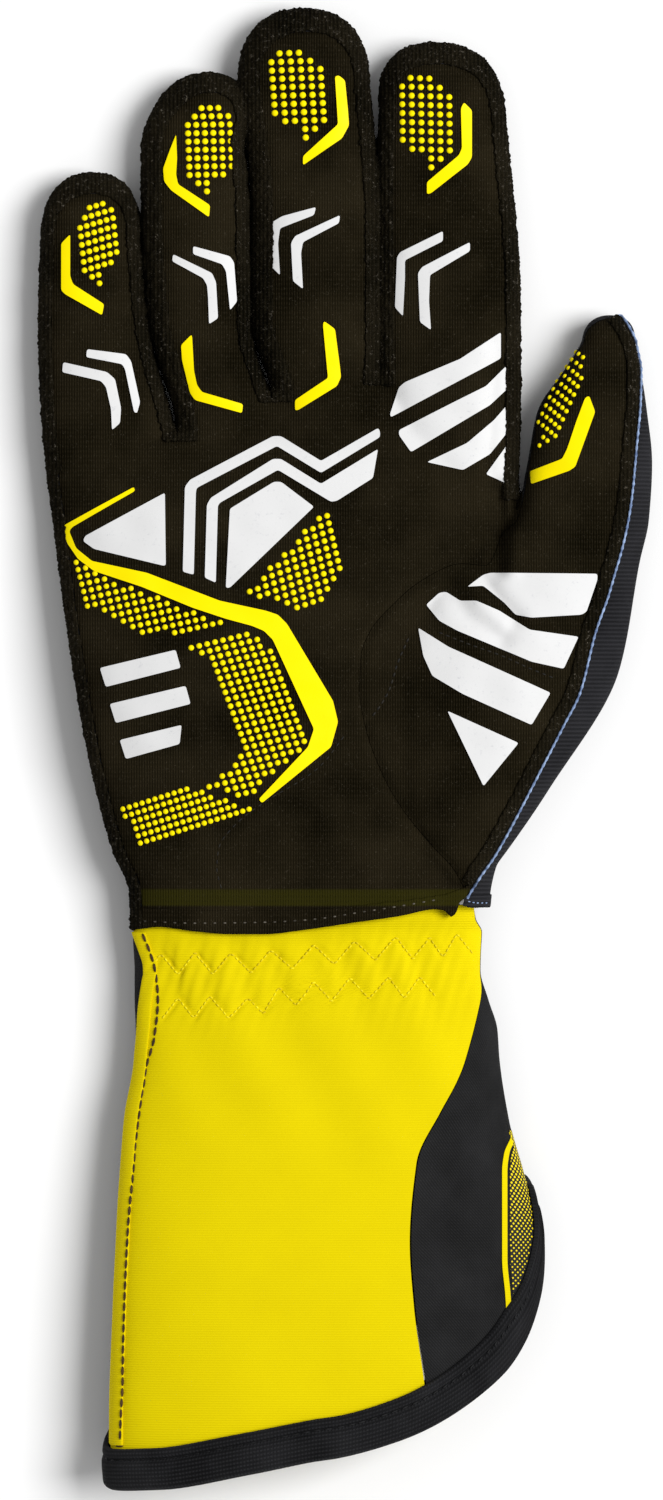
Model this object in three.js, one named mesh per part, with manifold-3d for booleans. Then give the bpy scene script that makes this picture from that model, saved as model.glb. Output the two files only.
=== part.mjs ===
// A karting glove for the right hand, lying on its back with the palm side up.
// Millimetres. +X runs from the little finger to the thumb, +Y from the cuff to the fingertips, +Z up.
// The back of the hand and the cuff's rim rest on z = 0.
import * as THREE from "three";
import { mergeVertices } from "three/addons/utils/BufferGeometryUtils.js";
import Module from "manifold-3d";

const wasm = await Module();
wasm.setup();

// Overall sizes.
const handWidth = 109; // across the knuckles, without the thumb
const handLength = 211.6; // from the palm's hem to the middle fingertip
const fingerDepth = 14; // a finger's thickness at its root
const palmDepth = 21; // the palm's thickness where it is fullest
const thumbDepth = 16; // the thumb's thickness at its middle joint
const cuffLength = 128.3; // from the palm's hem to the lowest point of the rim
const cuffWidth = 100.8; // across the rim
const cuffDepth = 24; // the cuff's thickness at the rim

// Cloth, seams and trim.
const handWall = 1.6; // suede and its backing
const cuffWall = 1.5; // woven cuff cloth
const gap = 0.3; // clearance between pieces that touch
const seamInset = 4; // from a finger's outline to the seam on its front
const weltEdge = 1; // from a finger's outline to the outer edge of the welt
const weltGroove = 0.8; // from the welt to the seam
const weltRise = 1; // height of the seam allowance over the cloth
const printRise = 0.5; // thickness of a silicone print
const hemWidth = 6; // the turned edge at the bottom of the palm
const hemRise = 0.9; // thickness of the turned edge
const hemSetback = 0.4; // from the palm's cut edge to the turned edge
const hemEnd = 0.225; // where the turned edge stops beside the back, as a share of the hand's width
const hemEndSlant = 0.6; // how far it has climbed there, as a share of the slant at the palm's side
const lap = 7; // how far the cuff reaches up inside the hand
const lapClearance = 1.2; // between the cuff there and the hand round it
const seamStripWidth = 3.2; // the folded seam down the little-finger side
const seamStripRise = 0.7; // its thickness
const bindingWidth = 7.6; // elastic tape folded over the rim
const bindingThickness = 1.2; // its thickness
const tapeClearance = 0.5; // between the tape and the cloth inside it
const clothSetback = 1.2; // from the fold of the tape to the cut edge of the cloth inside it
const gatherDepth = 0.9; // how deep the elastic pulls in the cuff's front

// The line where hand and cuff meet, so that the whole glove is centred on the origin.
const hemY = (cuffLength - handLength) / 2;
const seamShare = 0.46; // the height of the widest part of a section, as a share of its depth
const flatSink = 1.4; // how far a resting section is cut off by the surface that it lies on
const splitHeight = seamShare * fingerDepth; // below this the back wraps every side
const mitreLimit = 0.5; // keeps the outer corner of a sharp bend from running away
const clearAbove = palmDepth + cuffDepth + thumbDepth; // higher than any part of the hand

// Tubes of the hand. y is a share of the hand's length above the hem, left and right are shares of the
// hand's width, and depth is a share of the tube's own depth. tip is where the rounded end closes.
const tubes = {
  little: {
    deep: fingerDepth,
    rows: [
      { y: 0.446, left: -0.6, right: -0.325, depth: 0.98 },
      { y: 0.536, left: -0.638, right: -0.36, depth: 1.0 },
      { y: 0.662, left: -0.648, right: -0.422, depth: 0.96 },
      { y: 0.755, left: -0.643, right: -0.438, depth: 0.92 },
    ],
    tip: { x: -0.536, y: 0.822 },
  },
  ring: {
    deep: fingerDepth,
    rows: [
      { y: 0.446, left: -0.414, right: -0.139, depth: 1.03 },
      { y: 0.536, left: -0.353, right: -0.143, depth: 1.02 },
      { y: 0.662, left: -0.414, right: -0.204, depth: 0.98 },
      { y: 0.78, left: -0.43, right: -0.208, depth: 0.96 },
      { y: 0.859, left: -0.43, right: -0.226, depth: 0.93 },
    ],
    tip: { x: -0.295, y: 0.933 },
  },
  middle: {
    deep: fingerDepth,
    rows: [
      { y: 0.446, left: -0.177, right: 0.082, depth: 1.05 },
      { y: 0.578, left: -0.152, right: 0.066, depth: 1.02 },
      { y: 0.664, left: -0.197, right: 0.066, depth: 1.0 },
      { y: 0.78, left: -0.196, right: 0.064, depth: 0.98 },
      { y: 0.929, left: -0.226, right: 0.047, depth: 0.95 },
    ],
    tip: { x: -0.097, y: 1.0 },
  },
  index: {
    deep: fingerDepth,
    rows: [
      { y: 0.446, left: 0.082, right: 0.345, depth: 1.0 },
      { y: 0.603, left: 0.072, right: 0.369, depth: 1.02 },
      { y: 0.697, left: 0.073, right: 0.371, depth: 1.0 },
      { y: 0.897, left: 0.074, right: 0.338, depth: 0.95 },
    ],
    tip: { x: 0.19, y: 0.964 },
  },
  thumb: {
    deep: thumbDepth,
    rows: [
      { y: 0.05, left: 0.211, right: 0.287, depth: 1.1 },
      { y: 0.087, left: 0.146, right: 0.342, depth: 1.3 },
      { y: 0.152, left: 0.082, right: 0.428, depth: 1.42 },
      { y: 0.283, left: 0.055, right: 0.578, depth: 1.4 },
      { y: 0.402, left: 0.219, right: 0.622, depth: 1.15 },
      { y: 0.446, left: 0.357, right: 0.641, depth: 1.05 },
      { y: 0.509, left: 0.384, right: 0.648, depth: 1.0 },
      { y: 0.565, left: 0.405, right: 0.637, depth: 0.97 },
      { y: 0.63, left: 0.485, right: 0.608, depth: 0.85 },
    ],
    tip: { x: 0.559, y: 0.667 },
  },
  palm: {
    deep: palmDepth,
    rows: [
      // slant is how far the right side of the section lies above its middle.
      { y: 0.0, left: -0.456, right: 0.295, depth: 0.84, slant: 0.008 },
      { y: 0.041, left: -0.458, right: 0.306, depth: 0.88, slant: 0 },
      { y: 0.087, left: -0.494, right: 0.325, depth: 0.95 },
      { y: 0.217, left: -0.555, right: 0.344, depth: 1.0 },
      { y: 0.446, left: -0.62, right: 0.359, depth: 0.8 },
      { y: 0.522, left: -0.636, right: 0.365, depth: 0.71 },
      { y: 0.541, left: -0.376, right: 0.365, depth: 0.64 },
      { y: 0.574, left: -0.308, right: 0.365, depth: 0.58 },
      { y: 0.587, left: -0.15, right: 0.36, depth: 0.5 },
    ],
    tip: { x: 0.1, y: 0.604 },
  },
};
const fingerNames = ["little", "ring", "middle", "index"];
const fingerRoot = 0.44; // the finger plans start inside the palm, as a share of the hand's length
const weltRoot = 0.545; // where the finger welts start, likewise
const thumbRoot = 0.15; // where the thumb's own plan starts, inside the palm
const thumbWeltRoot = 0.515; // where the thumb's welt starts
const backRoot = 0.69; // where the backs of the fingers start
const thumbCrotch = 0.42; // below this the thumb piece reaches over the whole heel of the thumb
const tubeSides = { little: 12, ring: 12, middle: 12, index: 12, thumb: 14, palm: 20 };
const capAngles = [36, 64, 84]; // degrees round the closed end of a tube

// The seam between palm and thumb piece, and the thumb piece's edge against the back, in hand shares.
const thumbSeam = [
  { x: 0.366, y: 0.462 },
  { x: 0.293, y: 0.396 },
  { x: 0.245, y: 0.398 },
  { x: 0.156, y: 0.378 },
  { x: 0.051, y: 0.324 },
  { x: 0.03, y: 0.258 },
  { x: 0.084, y: 0.162 },
  { x: 0.177, y: 0.095 },
  { x: 0.245, y: 0.042 },
];
const thumbEdge = [
  { x: 0.258, y: 0.04 },
  { x: 0.308, y: 0.079 },
  { x: 0.456, y: 0.223 },
  { x: 0.553, y: 0.367 },
  { x: 0.597, y: 0.459 },
  { x: 0.618, y: 0.572 },
  { x: 0.605, y: 0.68 },
];
const backCorner = { x: 0.242, y: 0 }; // where the back's front edge meets the hem, below that line

// The cuff's sections. down is a share of the cuff's length below the hem, left and right are shares of the
// rim's width, deep is a share of the rim's depth, lift a share of the height the rim is held at.
const cuffRows = [
  { down: 0.036, left: -0.47, right: 0.306, deep: 0.69, lift: 1.0 },
  { down: 0.081, left: -0.464, right: 0.306, deep: 0.67, lift: 0.8 },
  { down: 0.125, left: -0.466, right: 0.326, deep: 0.68, lift: 0.6 },
  { down: 0.179, left: -0.471, right: 0.347, deep: 0.71, lift: 0.4 },
  { down: 0.233, left: -0.487, right: 0.352, deep: 0.74, lift: 0.4 },
  { down: 0.341, left: -0.509, right: 0.372, deep: 0.8, lift: 0.8 },
  { down: 0.448, left: -0.52, right: 0.409, deep: 0.86, lift: 1.0 },
  { down: 0.556, left: -0.528, right: 0.438, deep: 0.91, lift: 1.0 },
  { down: 0.663, left: -0.536, right: 0.445, deep: 0.95, lift: 1.0 },
  { down: 0.842, left: -0.544, right: 0.445, deep: 0.99, lift: 1.0 },
  { down: 1.02, left: -0.546, right: 0.445, deep: 1.0, lift: 1.0 },
];
// The slanted rim. turn is degrees round the section from the thumb side over the front.
const rimRows = [
  { turn: 0, down: 0.547 },
  { turn: 14, down: 0.636 },
  { turn: 30, down: 0.731 },
  { turn: 50, down: 0.815 },
  { turn: 75, down: 0.896 },
  { turn: 105, down: 0.955 },
  { turn: 135, down: 0.984 },
  { turn: 165, down: 0.988 },
  { turn: 195, down: 0.968 },
  { turn: 225, down: 0.9 },
  { turn: 255, down: 0.797 },
  { turn: 285, down: 0.69 },
  { turn: 315, down: 0.582 },
  { turn: 340, down: 0.51 },
  { turn: 360, down: 0.547 },
];
// The line between the yellow front and the black side panel, x a share of the rim's width.
const sideLineRows = [
  { down: -0.1, x: 0.27 },
  { down: 0.079, x: 0.29 },
  { down: 0.149, x: 0.299 },
  { down: 0.233, x: 0.272 },
  { down: 0.328, x: 0.212 },
  { down: 0.416, x: 0.16 },
  { down: 0.556, x: 0.144 },
  { down: 0.67, x: 0.153 },
  { down: 0.801, x: 0.176 },
  { down: 1.02, x: 0.21 },
];
// The two rows of elastic zigzag, and the puckers across them.
const gatherRows = [{ down: 0.062 }, { down: 0.14 }];
const gatherReach = 0.035; // half the height of one gathered row, as a share of the cuff's length
const gatherCount = 8; // puckers across the front
const puckerShare = 0.45; // how much of the gathers' depth comes and goes from pucker to pucker
const gatherFade = 0.3; // the sine of the turn below which the sides stay smooth
// The seams down the sides of the cuff, in degrees of turn.
const leftLineRows = [
  { down: -0.1, turn: 172 },
  { down: 0.0, turn: 166 },
  { down: 0.05, turn: 160 },
  { down: 0.12, turn: 157 },
  { down: 0.18, turn: 164 },
  { down: 0.25, turn: 171 },
  { down: 1.0, turn: 174 },
];
const backTurn = -12; // the seam between the side panel and the back, just under the thumb side
const bindingSteps = 40; // sections of the tape round the rim

// Grip prints drawn as bent lines: x, y and width at each bend, in hand shares.
const printLines = [
  {
    name: "little_bracket",
    colour: "yellow",
    bends: [[-0.589, 0.752, 0.021], [-0.591, 0.7, 0.021], [-0.515, 0.676, 0.021]],
  },
  {
    name: "ring_bracket",
    colour: "yellow",
    bends: [[-0.357, 0.861, 0.013], [-0.376, 0.83, 0.023], [-0.371, 0.811, 0.023], [-0.289, 0.782, 0.023]],
  },
  {
    name: "middle_bracket",
    colour: "yellow",
    bends: [[-0.013, 0.927, 0.017], [-0.006, 0.873, 0.023], [-0.091, 0.836, 0.021]],
  },
  {
    name: "index_bracket",
    colour: "yellow",
    bends: [[0.253, 0.898, 0.017], [0.253, 0.845, 0.023], [0.173, 0.807, 0.023]],
  },
  {
    name: "thumb_bracket",
    colour: "yellow",
    bends: [[0.515, 0.577, 0.017], [0.475, 0.511, 0.025], [0.39, 0.492, 0.027]],
  },
  {
    name: "ring_base_bracket",
    colour: "yellow",
    bends: [[-0.329, 0.646, 0.011], [-0.335, 0.62, 0.025], [-0.319, 0.583, 0.023], [-0.217, 0.566, 0.021]],
  },
  {
    name: "middle_base_bracket",
    colour: "yellow",
    bends: [[-0.034, 0.661, 0.025], [-0.023, 0.598, 0.023], [-0.108, 0.571, 0.021]],
  },
  {
    name: "palm_sweep",
    colour: "yellow",
    bends: [
      [-0.445, 0.479, 0.008],
      [-0.591, 0.436, 0.013],
      [-0.553, 0.402, 0.023],
      [-0.424, 0.38, 0.032],
      [-0.262, 0.35, 0.038],
      [-0.141, 0.325, 0.049],
      [-0.046, 0.234, 0.049],
      [-0.061, 0.196, 0.046],
      [-0.177, 0.14, 0.01],
    ],
  },
  {
    name: "little_chevron_low",
    colour: "white",
    bends: [[-0.597, 0.612, 0.021], [-0.502, 0.6, 0.021], [-0.485, 0.547, 0.019]],
  },
  {
    name: "little_chevron_high",
    colour: "white",
    bends: [[-0.546, 0.629, 0.017], [-0.46, 0.619, 0.017], [-0.439, 0.565, 0.015]],
  },
  {
    name: "ring_chevron_low",
    colour: "white",
    bends: [[-0.365, 0.73, 0.017], [-0.291, 0.71, 0.019], [-0.281, 0.662, 0.019]],
  },
  {
    name: "ring_chevron_high",
    colour: "white",
    bends: [[-0.325, 0.741, 0.017], [-0.257, 0.727, 0.017], [-0.245, 0.678, 0.017]],
  },
  {
    name: "middle_chevron_low",
    colour: "white",
    bends: [[-0.065, 0.782, 0.019], [-0.148, 0.763, 0.019], [-0.15, 0.716, 0.019]],
  },
  {
    name: "middle_chevron_high",
    colour: "white",
    bends: [[-0.013, 0.773, 0.019], [-0.101, 0.75, 0.019], [-0.101, 0.701, 0.019]],
  },
  {
    name: "index_chevron_low",
    colour: "white",
    bends: [[0.205, 0.754, 0.021], [0.116, 0.732, 0.019], [0.112, 0.672, 0.019]],
  },
  {
    name: "index_chevron_high",
    colour: "white",
    bends: [[0.262, 0.743, 0.021], [0.165, 0.713, 0.023], [0.167, 0.657, 0.023]],
  },
  {
    name: "zigzag_outer",
    colour: "white",
    bends: [
      [-0.333, 0.387, 0.021],
      [-0.329, 0.482, 0.021],
      [-0.152, 0.532, 0.021],
      [-0.053, 0.503, 0.021],
      [0.072, 0.541, 0.019],
    ],
  },
  {
    name: "zigzag_inner",
    colour: "white",
    bends: [
      [-0.287, 0.378, 0.021],
      [-0.283, 0.464, 0.021],
      [-0.143, 0.505, 0.021],
      [-0.044, 0.475, 0.03],
      [0.063, 0.503, 0.05],
    ],
  },
];
// Grip prints drawn as filled outlines, in hand shares.
const printPatches = [
  { name: "triangle", corners: [[-0.386, 0.474], [-0.553, 0.426], [-0.53, 0.414], [-0.382, 0.396]] },
  { name: "kite", corners: [[-0.245, 0.446], [-0.143, 0.483], [-0.068, 0.455], [-0.245, 0.372]] },
  { name: "index_bar_1", corners: [[0.327, 0.65], [0.327, 0.622], [0.108, 0.563], [0.12, 0.595]] },
  { name: "index_bar_2", corners: [[0.33, 0.613], [0.332, 0.588], [0.137, 0.52], [0.112, 0.54]] },
  { name: "index_bar_3", corners: [[0.33, 0.571], [0.33, 0.539], [0.247, 0.5], [0.171, 0.509]] },
  { name: "index_bar_4", corners: [[0.34, 0.527], [0.344, 0.489], [0.295, 0.496]] },
  {
    name: "thumb_bar_1",
    corners: [[0.293, 0.387], [0.53, 0.386], [0.504, 0.343], [0.367, 0.341], [0.262, 0.37]],
  },
  {
    name: "thumb_bar_2",
    corners: [
      [0.169, 0.348],
      [0.203, 0.364],
      [0.274, 0.355],
      [0.386, 0.328],
      [0.489, 0.32],
      [0.458, 0.284],
      [0.234, 0.325],
    ],
  },
  {
    name: "thumb_bar_3",
    corners: [[0.152, 0.326], [0.215, 0.31], [0.43, 0.258], [0.39, 0.223], [0.181, 0.276]],
  },
  { name: "thumb_bar_4", corners: [[0.213, 0.238], [0.363, 0.203], [0.289, 0.157]] },
];

// Finishes.
const finishes = {
  suede: { color: 0x1e190f, roughness: 0.95 },
  stretch: { color: 0x282a2e, roughness: 0.9 },
  welt: { color: 0x17130b, roughness: 1 },
  yellowCloth: { color: 0xe6d400, roughness: 0.8 },
  blackCloth: { color: 0x232324, roughness: 0.85 },
  tape: { color: 0x1e2024, roughness: 0.9 },
  yellow: { color: 0xfff200, roughness: 0.35 },
  white: { color: 0xeeeef0, roughness: 0.4 },
};

const glove = new THREE.Group();

// Adds a closed geometry to the glove as one named piece.
function addPiece(name, geometry, finish) {
  const material = new THREE.MeshStandardMaterial({ ...finishes[finish], metalness: 0 });
  const mesh = new THREE.Mesh(geometry, material);
  mesh.name = name;
  glove.add(mesh);
}

// Points from hand shares.
function handX(share) {
  return share * handWidth;
}
function handY(share) {
  return hemY + share * handLength;
}
function handPoint({ x, y }) {
  return new THREE.Vector2(handX(x), handY(y));
}

// A geometry from a flat list of corners and one of triangles, with its faces turned outwards.
function closedGeometry(corners, triangles) {
  let volume = 0;
  const a = new THREE.Vector3();
  for (const [i, j, k] of triangles) {
    volume += a.copy(corners[j]).cross(corners[k]).dot(corners[i]);
  }
  const turned = volume < 0 ? triangles.map(([i, j, k]) => [i, k, j]) : triangles;
  const geometry = new THREE.BufferGeometry();
  const places = corners.flatMap((corner) => [corner.x, corner.y, corner.z]);
  geometry.setAttribute("position", new THREE.Float32BufferAttribute(places, 3));
  geometry.setIndex(turned.flat());
  return geometry;
}

// A tube through rings of equal count, its ends closed by fans, or joined to each other when it is a loop.
function loft(rings, isLoop = false) {
  const sides = rings[0].length;
  const triangles = [];
  const last = isLoop ? rings.length : rings.length - 1;
  for (let r = 0; r < last; r += 1) {
    const next = (r + 1) % rings.length;
    for (let s = 0; s < sides; s += 1) {
      const a = r * sides + s;
      const b = r * sides + ((s + 1) % sides);
      const c = next * sides + s;
      const d = next * sides + ((s + 1) % sides);
      triangles.push([a, b, c], [b, d, c]);
    }
  }
  if (!isLoop) {
    const far = (rings.length - 1) * sides;
    for (let s = 1; s < sides - 1; s += 1) {
      triangles.push([0, s + 1, s], [far, far + s, far + s + 1]);
    }
  }
  return closedGeometry(rings.flat(), triangles);
}

// A curved sheet with thickness, from a grid of outer points and one of inner points.
function sheet(outer, inner) {
  const rows = outer.length;
  const columns = outer[0].length;
  const corners = [...outer.flat(), ...inner.flat()];
  const under = rows * columns;
  const at = (r, c) => r * columns + c;
  const triangles = [];
  const quad = (a, b, c, d) => triangles.push([a, b, c], [a, c, d]);
  for (let r = 0; r < rows - 1; r += 1) {
    for (let c = 0; c < columns - 1; c += 1) {
      quad(at(r, c), at(r, c + 1), at(r + 1, c + 1), at(r + 1, c));
      quad(under + at(r, c), under + at(r + 1, c), under + at(r + 1, c + 1), under + at(r, c + 1));
    }
  }
  for (let c = 0; c < columns - 1; c += 1) {
    quad(at(0, c + 1), at(0, c), under + at(0, c), under + at(0, c + 1));
    quad(at(rows - 1, c), at(rows - 1, c + 1), under + at(rows - 1, c + 1), under + at(rows - 1, c));
  }
  for (let r = 0; r < rows - 1; r += 1) {
    quad(at(r, 0), at(r + 1, 0), under + at(r + 1, 0), under + at(r, 0));
    const low = at(r, columns - 1);
    const high = at(r + 1, columns - 1);
    quad(high, low, under + low, under + high);
  }
  return closedGeometry(corners, triangles);
}

// Solids for joining and cutting, and back again.
function toSolid(geometry) {
  const bare = geometry.clone();
  bare.deleteAttribute("normal");
  bare.deleteAttribute("uv");
  const merged = mergeVertices(bare, 1e-4);
  return new wasm.Manifold(
    new wasm.Mesh({
      numProp: 3,
      vertProperties: merged.attributes.position.array,
      triVerts: new Uint32Array(merged.index.array),
    }),
  );
}
function toGeometry(solid) {
  const mesh = solid.getMesh();
  const geometry = new THREE.BufferGeometry();
  geometry.setAttribute("position", new THREE.BufferAttribute(mesh.vertProperties, 3));
  geometry.setIndex(new THREE.BufferAttribute(mesh.triVerts, 1));
  return geometry;
}
function joined(solids) {
  return solids.reduce((sum, next) => sum.add(next));
}

// A value of a table at a place between its rows, along a smooth curve through them.
function smooth(rows, key, column, place) {
  const found = rows.findIndex((row) => row[key] >= place);
  if (found === 0) return rows[0][column];
  if (found < 0) return rows[rows.length - 1][column];
  const low = rows[found - 1];
  const high = rows[found];
  const before = rows[found - 2] ?? low;
  const after = rows[found + 1] ?? high;
  const span = high[key] - low[key];
  const lowSlope = (high[column] - before[column]) / (high[key] - before[key]);
  const highSlope = (after[column] - low[column]) / (after[key] - low[key]);
  const t = (place - low[key]) / span;
  const low3 = 2 * t ** 3 - 3 * t ** 2 + 1;
  const high3 = 3 * t ** 2 - 2 * t ** 3;
  const bend = (t ** 3 - 2 * t ** 2 + t) * lowSlope + (t ** 3 - t ** 2) * highSlope;
  return low3 * low[column] + high3 * high[column] + span * bend;
}

// One point of a cloth section: a rounded box, cut flat where it rests.
const sideRound = 2.5; // how square the upper half is, 2 being an ellipse
const restRound = 3.4; // the same for the half that rests
function sectionPoint(section, angle, grow) {
  const across = Math.cos(angle);
  const up = Math.sin(angle);
  const round = 2 / (up >= 0 ? sideRound : restRound);
  const seam = THREE.MathUtils.lerp(section.floor, section.top, seamShare);
  const share = Math.sign(across) * Math.abs(across) ** round * section.close;
  const reach = up >= 0 ? section.top - seam + grow : seam - section.floor + flatSink + grow;
  const z = seam + Math.sign(up) * Math.abs(up) ** round * reach * section.close;
  return new THREE.Vector3(
    section.centre + share * (section.half + grow),
    section.y + share * section.slant,
    Math.max(z, section.floor - grow, 0),
  );
}

// The sections of a hand tube, with its closed tip, when its surface is moved out by grow.
function handSection(tube, row) {
  return {
    y: handY(row.y),
    centre: handX((row.left + row.right) / 2),
    half: handX((row.right - row.left) / 2),
    top: row.depth * tube.deep,
    slant: (row.slant ?? 0) * handLength,
    close: 1,
    floor: 0,
  };
}
function tubeSections(tube, grow, root = 0) {
  const sections = tube.rows.filter((row) => row.y >= root).map((row) => handSection(tube, row));
  const full = sections[sections.length - 1];
  const tipX = handX(tube.tip.x);
  const reach = handY(tube.tip.y) + grow - full.y;
  for (const degrees of capAngles) {
    const angle = THREE.MathUtils.degToRad(degrees);
    const along = Math.sin(angle);
    sections.push({
      ...full,
      y: full.y + reach * along,
      centre: THREE.MathUtils.lerp(full.centre, tipX, along),
      close: Math.cos(angle),
    });
  }
  return sections;
}

function handTube(name, grow) {
  const sides = tubeSides[name];
  const rings = tubeSections(tubes[name], grow).map((section) =>
    Array.from({ length: sides }, (_, side) => sectionPoint(section, (side / sides) * 2 * Math.PI, grow)),
  );
  if (name === "palm" && grow < 0) {
    // The hollow runs out past the hem.
    rings.unshift(rings[0].map((point) => point.clone().setY(point.y - lap)));
  }
  return toSolid(loft(rings));
}

// The whole hand with its surface moved out by grow, or in where grow is below zero.
function handSolid(grow) {
  return joined(Object.keys(tubes).map((name) => handTube(name, grow)));
}

// A prism over the front half of the hand, from a plan outline.
function prism(points) {
  const shape = new THREE.Shape(points);
  const geometry = new THREE.ExtrudeGeometry(shape, { depth: clearAbove, bevelEnabled: false });
  geometry.translate(0, 0, splitHeight);
  return toSolid(geometry);
}
// The plan of a finger or the thumb, its outline moved in by inset.
function tubePlan(name, inset, root) {
  const right = [];
  const left = [];
  for (const section of tubeSections(tubes[name], -inset, root)) {
    const half = (section.half - inset) * section.close;
    right.push(new THREE.Vector2(section.centre + half, section.y));
    left.unshift(new THREE.Vector2(section.centre - half, section.y));
  }
  return prism([...right, ...left]);
}
// The palm's plan runs out past the hem.
function palmPlan(inset) {
  const right = [];
  const left = [];
  for (const row of tubes.palm.rows) {
    right.push(new THREE.Vector2(handX(row.right) - inset, handY(row.y)));
    left.unshift(new THREE.Vector2(handX(row.left) + inset, handY(row.y)));
  }
  right[0].y -= lap;
  left[left.length - 1].y -= lap;
  const fingers = fingerNames.map((name) => tubePlan(name, inset, fingerRoot));
  return joined([prism([...right, ...left]), ...fingers]);
}
// An outline moved out by a distance.
function offsetOutline(outline, distance) {
  return outline.map((point, i) => {
    const before = outline[(i + outline.length - 1) % outline.length];
    const after = outline[(i + 1) % outline.length];
    const along = after.clone().sub(before).normalize();
    return new THREE.Vector2(point.x + along.y * distance, point.y - along.x * distance);
  });
}
function handCurve(rows) {
  const curve = new THREE.SplineCurve(rows.map(handPoint));
  return curve.getPoints(2 * rows.length);
}
// Shares of the hand that lie outside it, for plans that only cut along one of their sides.
const beyond = { left: -1, right: 0.9, above: 0.75, below: -0.1, tips: 1.1 };
// All of the hand between two shares of its length.
function slab(from, to) {
  const length = (to - from) * handLength;
  const geometry = new THREE.BoxGeometry((beyond.right - beyond.left) * handWidth, length, 2 * clearAbove);
  geometry.translate(handX((beyond.left + beyond.right) / 2), handY(from) + length / 2, 0);
  return toSolid(geometry);
}
// A prism over all of the hand below a share of its length.
function below(share) {
  return prism(
    [
      { x: beyond.left, y: beyond.below },
      { x: beyond.right, y: beyond.below },
      { x: beyond.right, y: share },
      { x: beyond.left, y: share },
    ].map(handPoint),
  );
}
// The plan of the thumb piece: the seam on the palm, the edge along the back and the thumb's own outline.
function thumbPlan(grow) {
  const above = [
    { x: thumbEdge[thumbEdge.length - 1].x, y: beyond.above },
    { x: thumbSeam[0].x, y: beyond.above },
  ].map(handPoint);
  const area = prism(offsetOutline([...handCurve(thumbSeam), ...handCurve(thumbEdge), ...above], grow));
  const thumb = tubePlan("thumb", seamInset - grow, thumbRoot);
  return area.intersect(thumb.add(below(thumbCrotch)));
}
// The plan of what the back covers beside the thumb, as far as its edge line.
function backPlan(grow) {
  const sides = [
    { x: beyond.right, y: beyond.below },
    { x: backCorner.x, y: beyond.below },
    backCorner,
  ].map(handPoint);
  const corner = handPoint({ x: beyond.right, y: beyond.above });
  return prism(offsetOutline([...sides, ...handCurve(thumbEdge), corner].reverse(), grow));
}

// Hand cloth: one hollow skin, parted at the seams.
const skin = handSolid(0).subtract(handSolid(-handWall));
const palmFront = palmPlan(seamInset).subtract(thumbPlan(gap)).subtract(backPlan(0));
const thumbFront = thumbPlan(0).subtract(backPlan(0));
const fronts = palmPlan(seamInset - gap).add(thumbPlan(gap)).subtract(backPlan(-gap));
addPiece("palm_front", toGeometry(skin.intersect(palmFront)), "suede");
addPiece("thumb_front", toGeometry(skin.intersect(thumbFront)), "suede");
// The back is parted across the fingers, into the back of the hand and four finger backs.
const back = skin.subtract(fronts);
addPiece("hand_back", toGeometry(back.intersect(slab(beyond.below, backRoot))), "stretch");
const middleOf = (solid) => solid.boundingBox().min[0] + solid.boundingBox().max[0];
const fingerBacks = back.intersect(slab(backRoot + gap / handLength, beyond.tips)).decompose();
fingerBacks.sort((a, b) => middleOf(a) - middleOf(b));
fingerNames.forEach((name, i) => addPiece(`${name}_back`, toGeometry(fingerBacks[i]), "stretch"));

// Seam allowances, sewn to the outside, round each finger and up the thumb.
const clothTop = handSolid(gap);
// The plan of one allowance, widened by grow on both sides.
function weltPlan(name, grow) {
  const start = name === "thumb" ? thumbRoot : fingerRoot;
  const first = name === "thumb" ? thumbWeltRoot : weltRoot;
  const outside = tubePlan(name, weltEdge - grow, start);
  const inside = tubePlan(name, seamInset - weltGroove + grow, start);
  const ring = outside.subtract(inside).subtract(below(first));
  return name === "thumb" ? ring.subtract(backPlan(gap)) : ring;
}
const weltNames = [...fingerNames, "thumb"];
for (const name of weltNames) {
  const layer = handTube(name, gap + weltRise).subtract(clothTop);
  addPiece(`${name}_welt`, toGeometry(layer.intersect(weltPlan(name, 0))), "welt");
}

// The palm's turned lower edge.
const hemLayer = handSolid(gap + hemRise).subtract(clothTop);
const hemSlant = tubes.palm.rows[0].slant * handLength;
const hemLeft = handX(tubes.palm.rows[0].left) + seamInset;
const hemRight = handX(hemEnd);
const hemOutline = [
  new THREE.Vector2(hemLeft, hemY - hemSlant + hemSetback),
  new THREE.Vector2(hemRight, hemY + hemSlant * hemEndSlant + hemSetback),
  new THREE.Vector2(hemRight, hemY + hemSlant * hemEndSlant + hemWidth),
  new THREE.Vector2(hemLeft, hemY - hemSlant + hemWidth),
];
addPiece("palm_hem", toGeometry(hemLayer.intersect(prism(hemOutline))), "suede");

// Silicone grip prints, laid on the cloth and clear of the seam allowances.
const weltZones = joined(weltNames.map((name) => weltPlan(name, gap)));
const printLayer = handSolid(gap + printRise).subtract(clothTop).subtract(weltZones);
function lineOutline(bends) {
  const points = bends.map(([x, y]) => new THREE.Vector2(handX(x), handY(y)));
  const sides = points.map((point, i) => {
    const before = points[i - 1] ?? point;
    const after = points[i + 1] ?? point;
    const arrive = (i > 0 ? point.clone().sub(before) : after.clone().sub(point)).normalize();
    const leave = (i < points.length - 1 ? after.clone().sub(point) : arrive.clone()).normalize();
    const across = new THREE.Vector2(-arrive.y - leave.y, arrive.x + leave.x).normalize();
    const mitre = 1 / Math.max(mitreLimit, Math.abs(-across.x * leave.y + across.y * leave.x));
    return across.multiplyScalar((handX(bends[i][2]) / 2) * mitre);
  });
  const one = points.map((point, i) => point.clone().sub(sides[i]));
  const other = points.map((point, i) => point.clone().add(sides[i])).reverse();
  return [...one, ...other];
}
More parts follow.
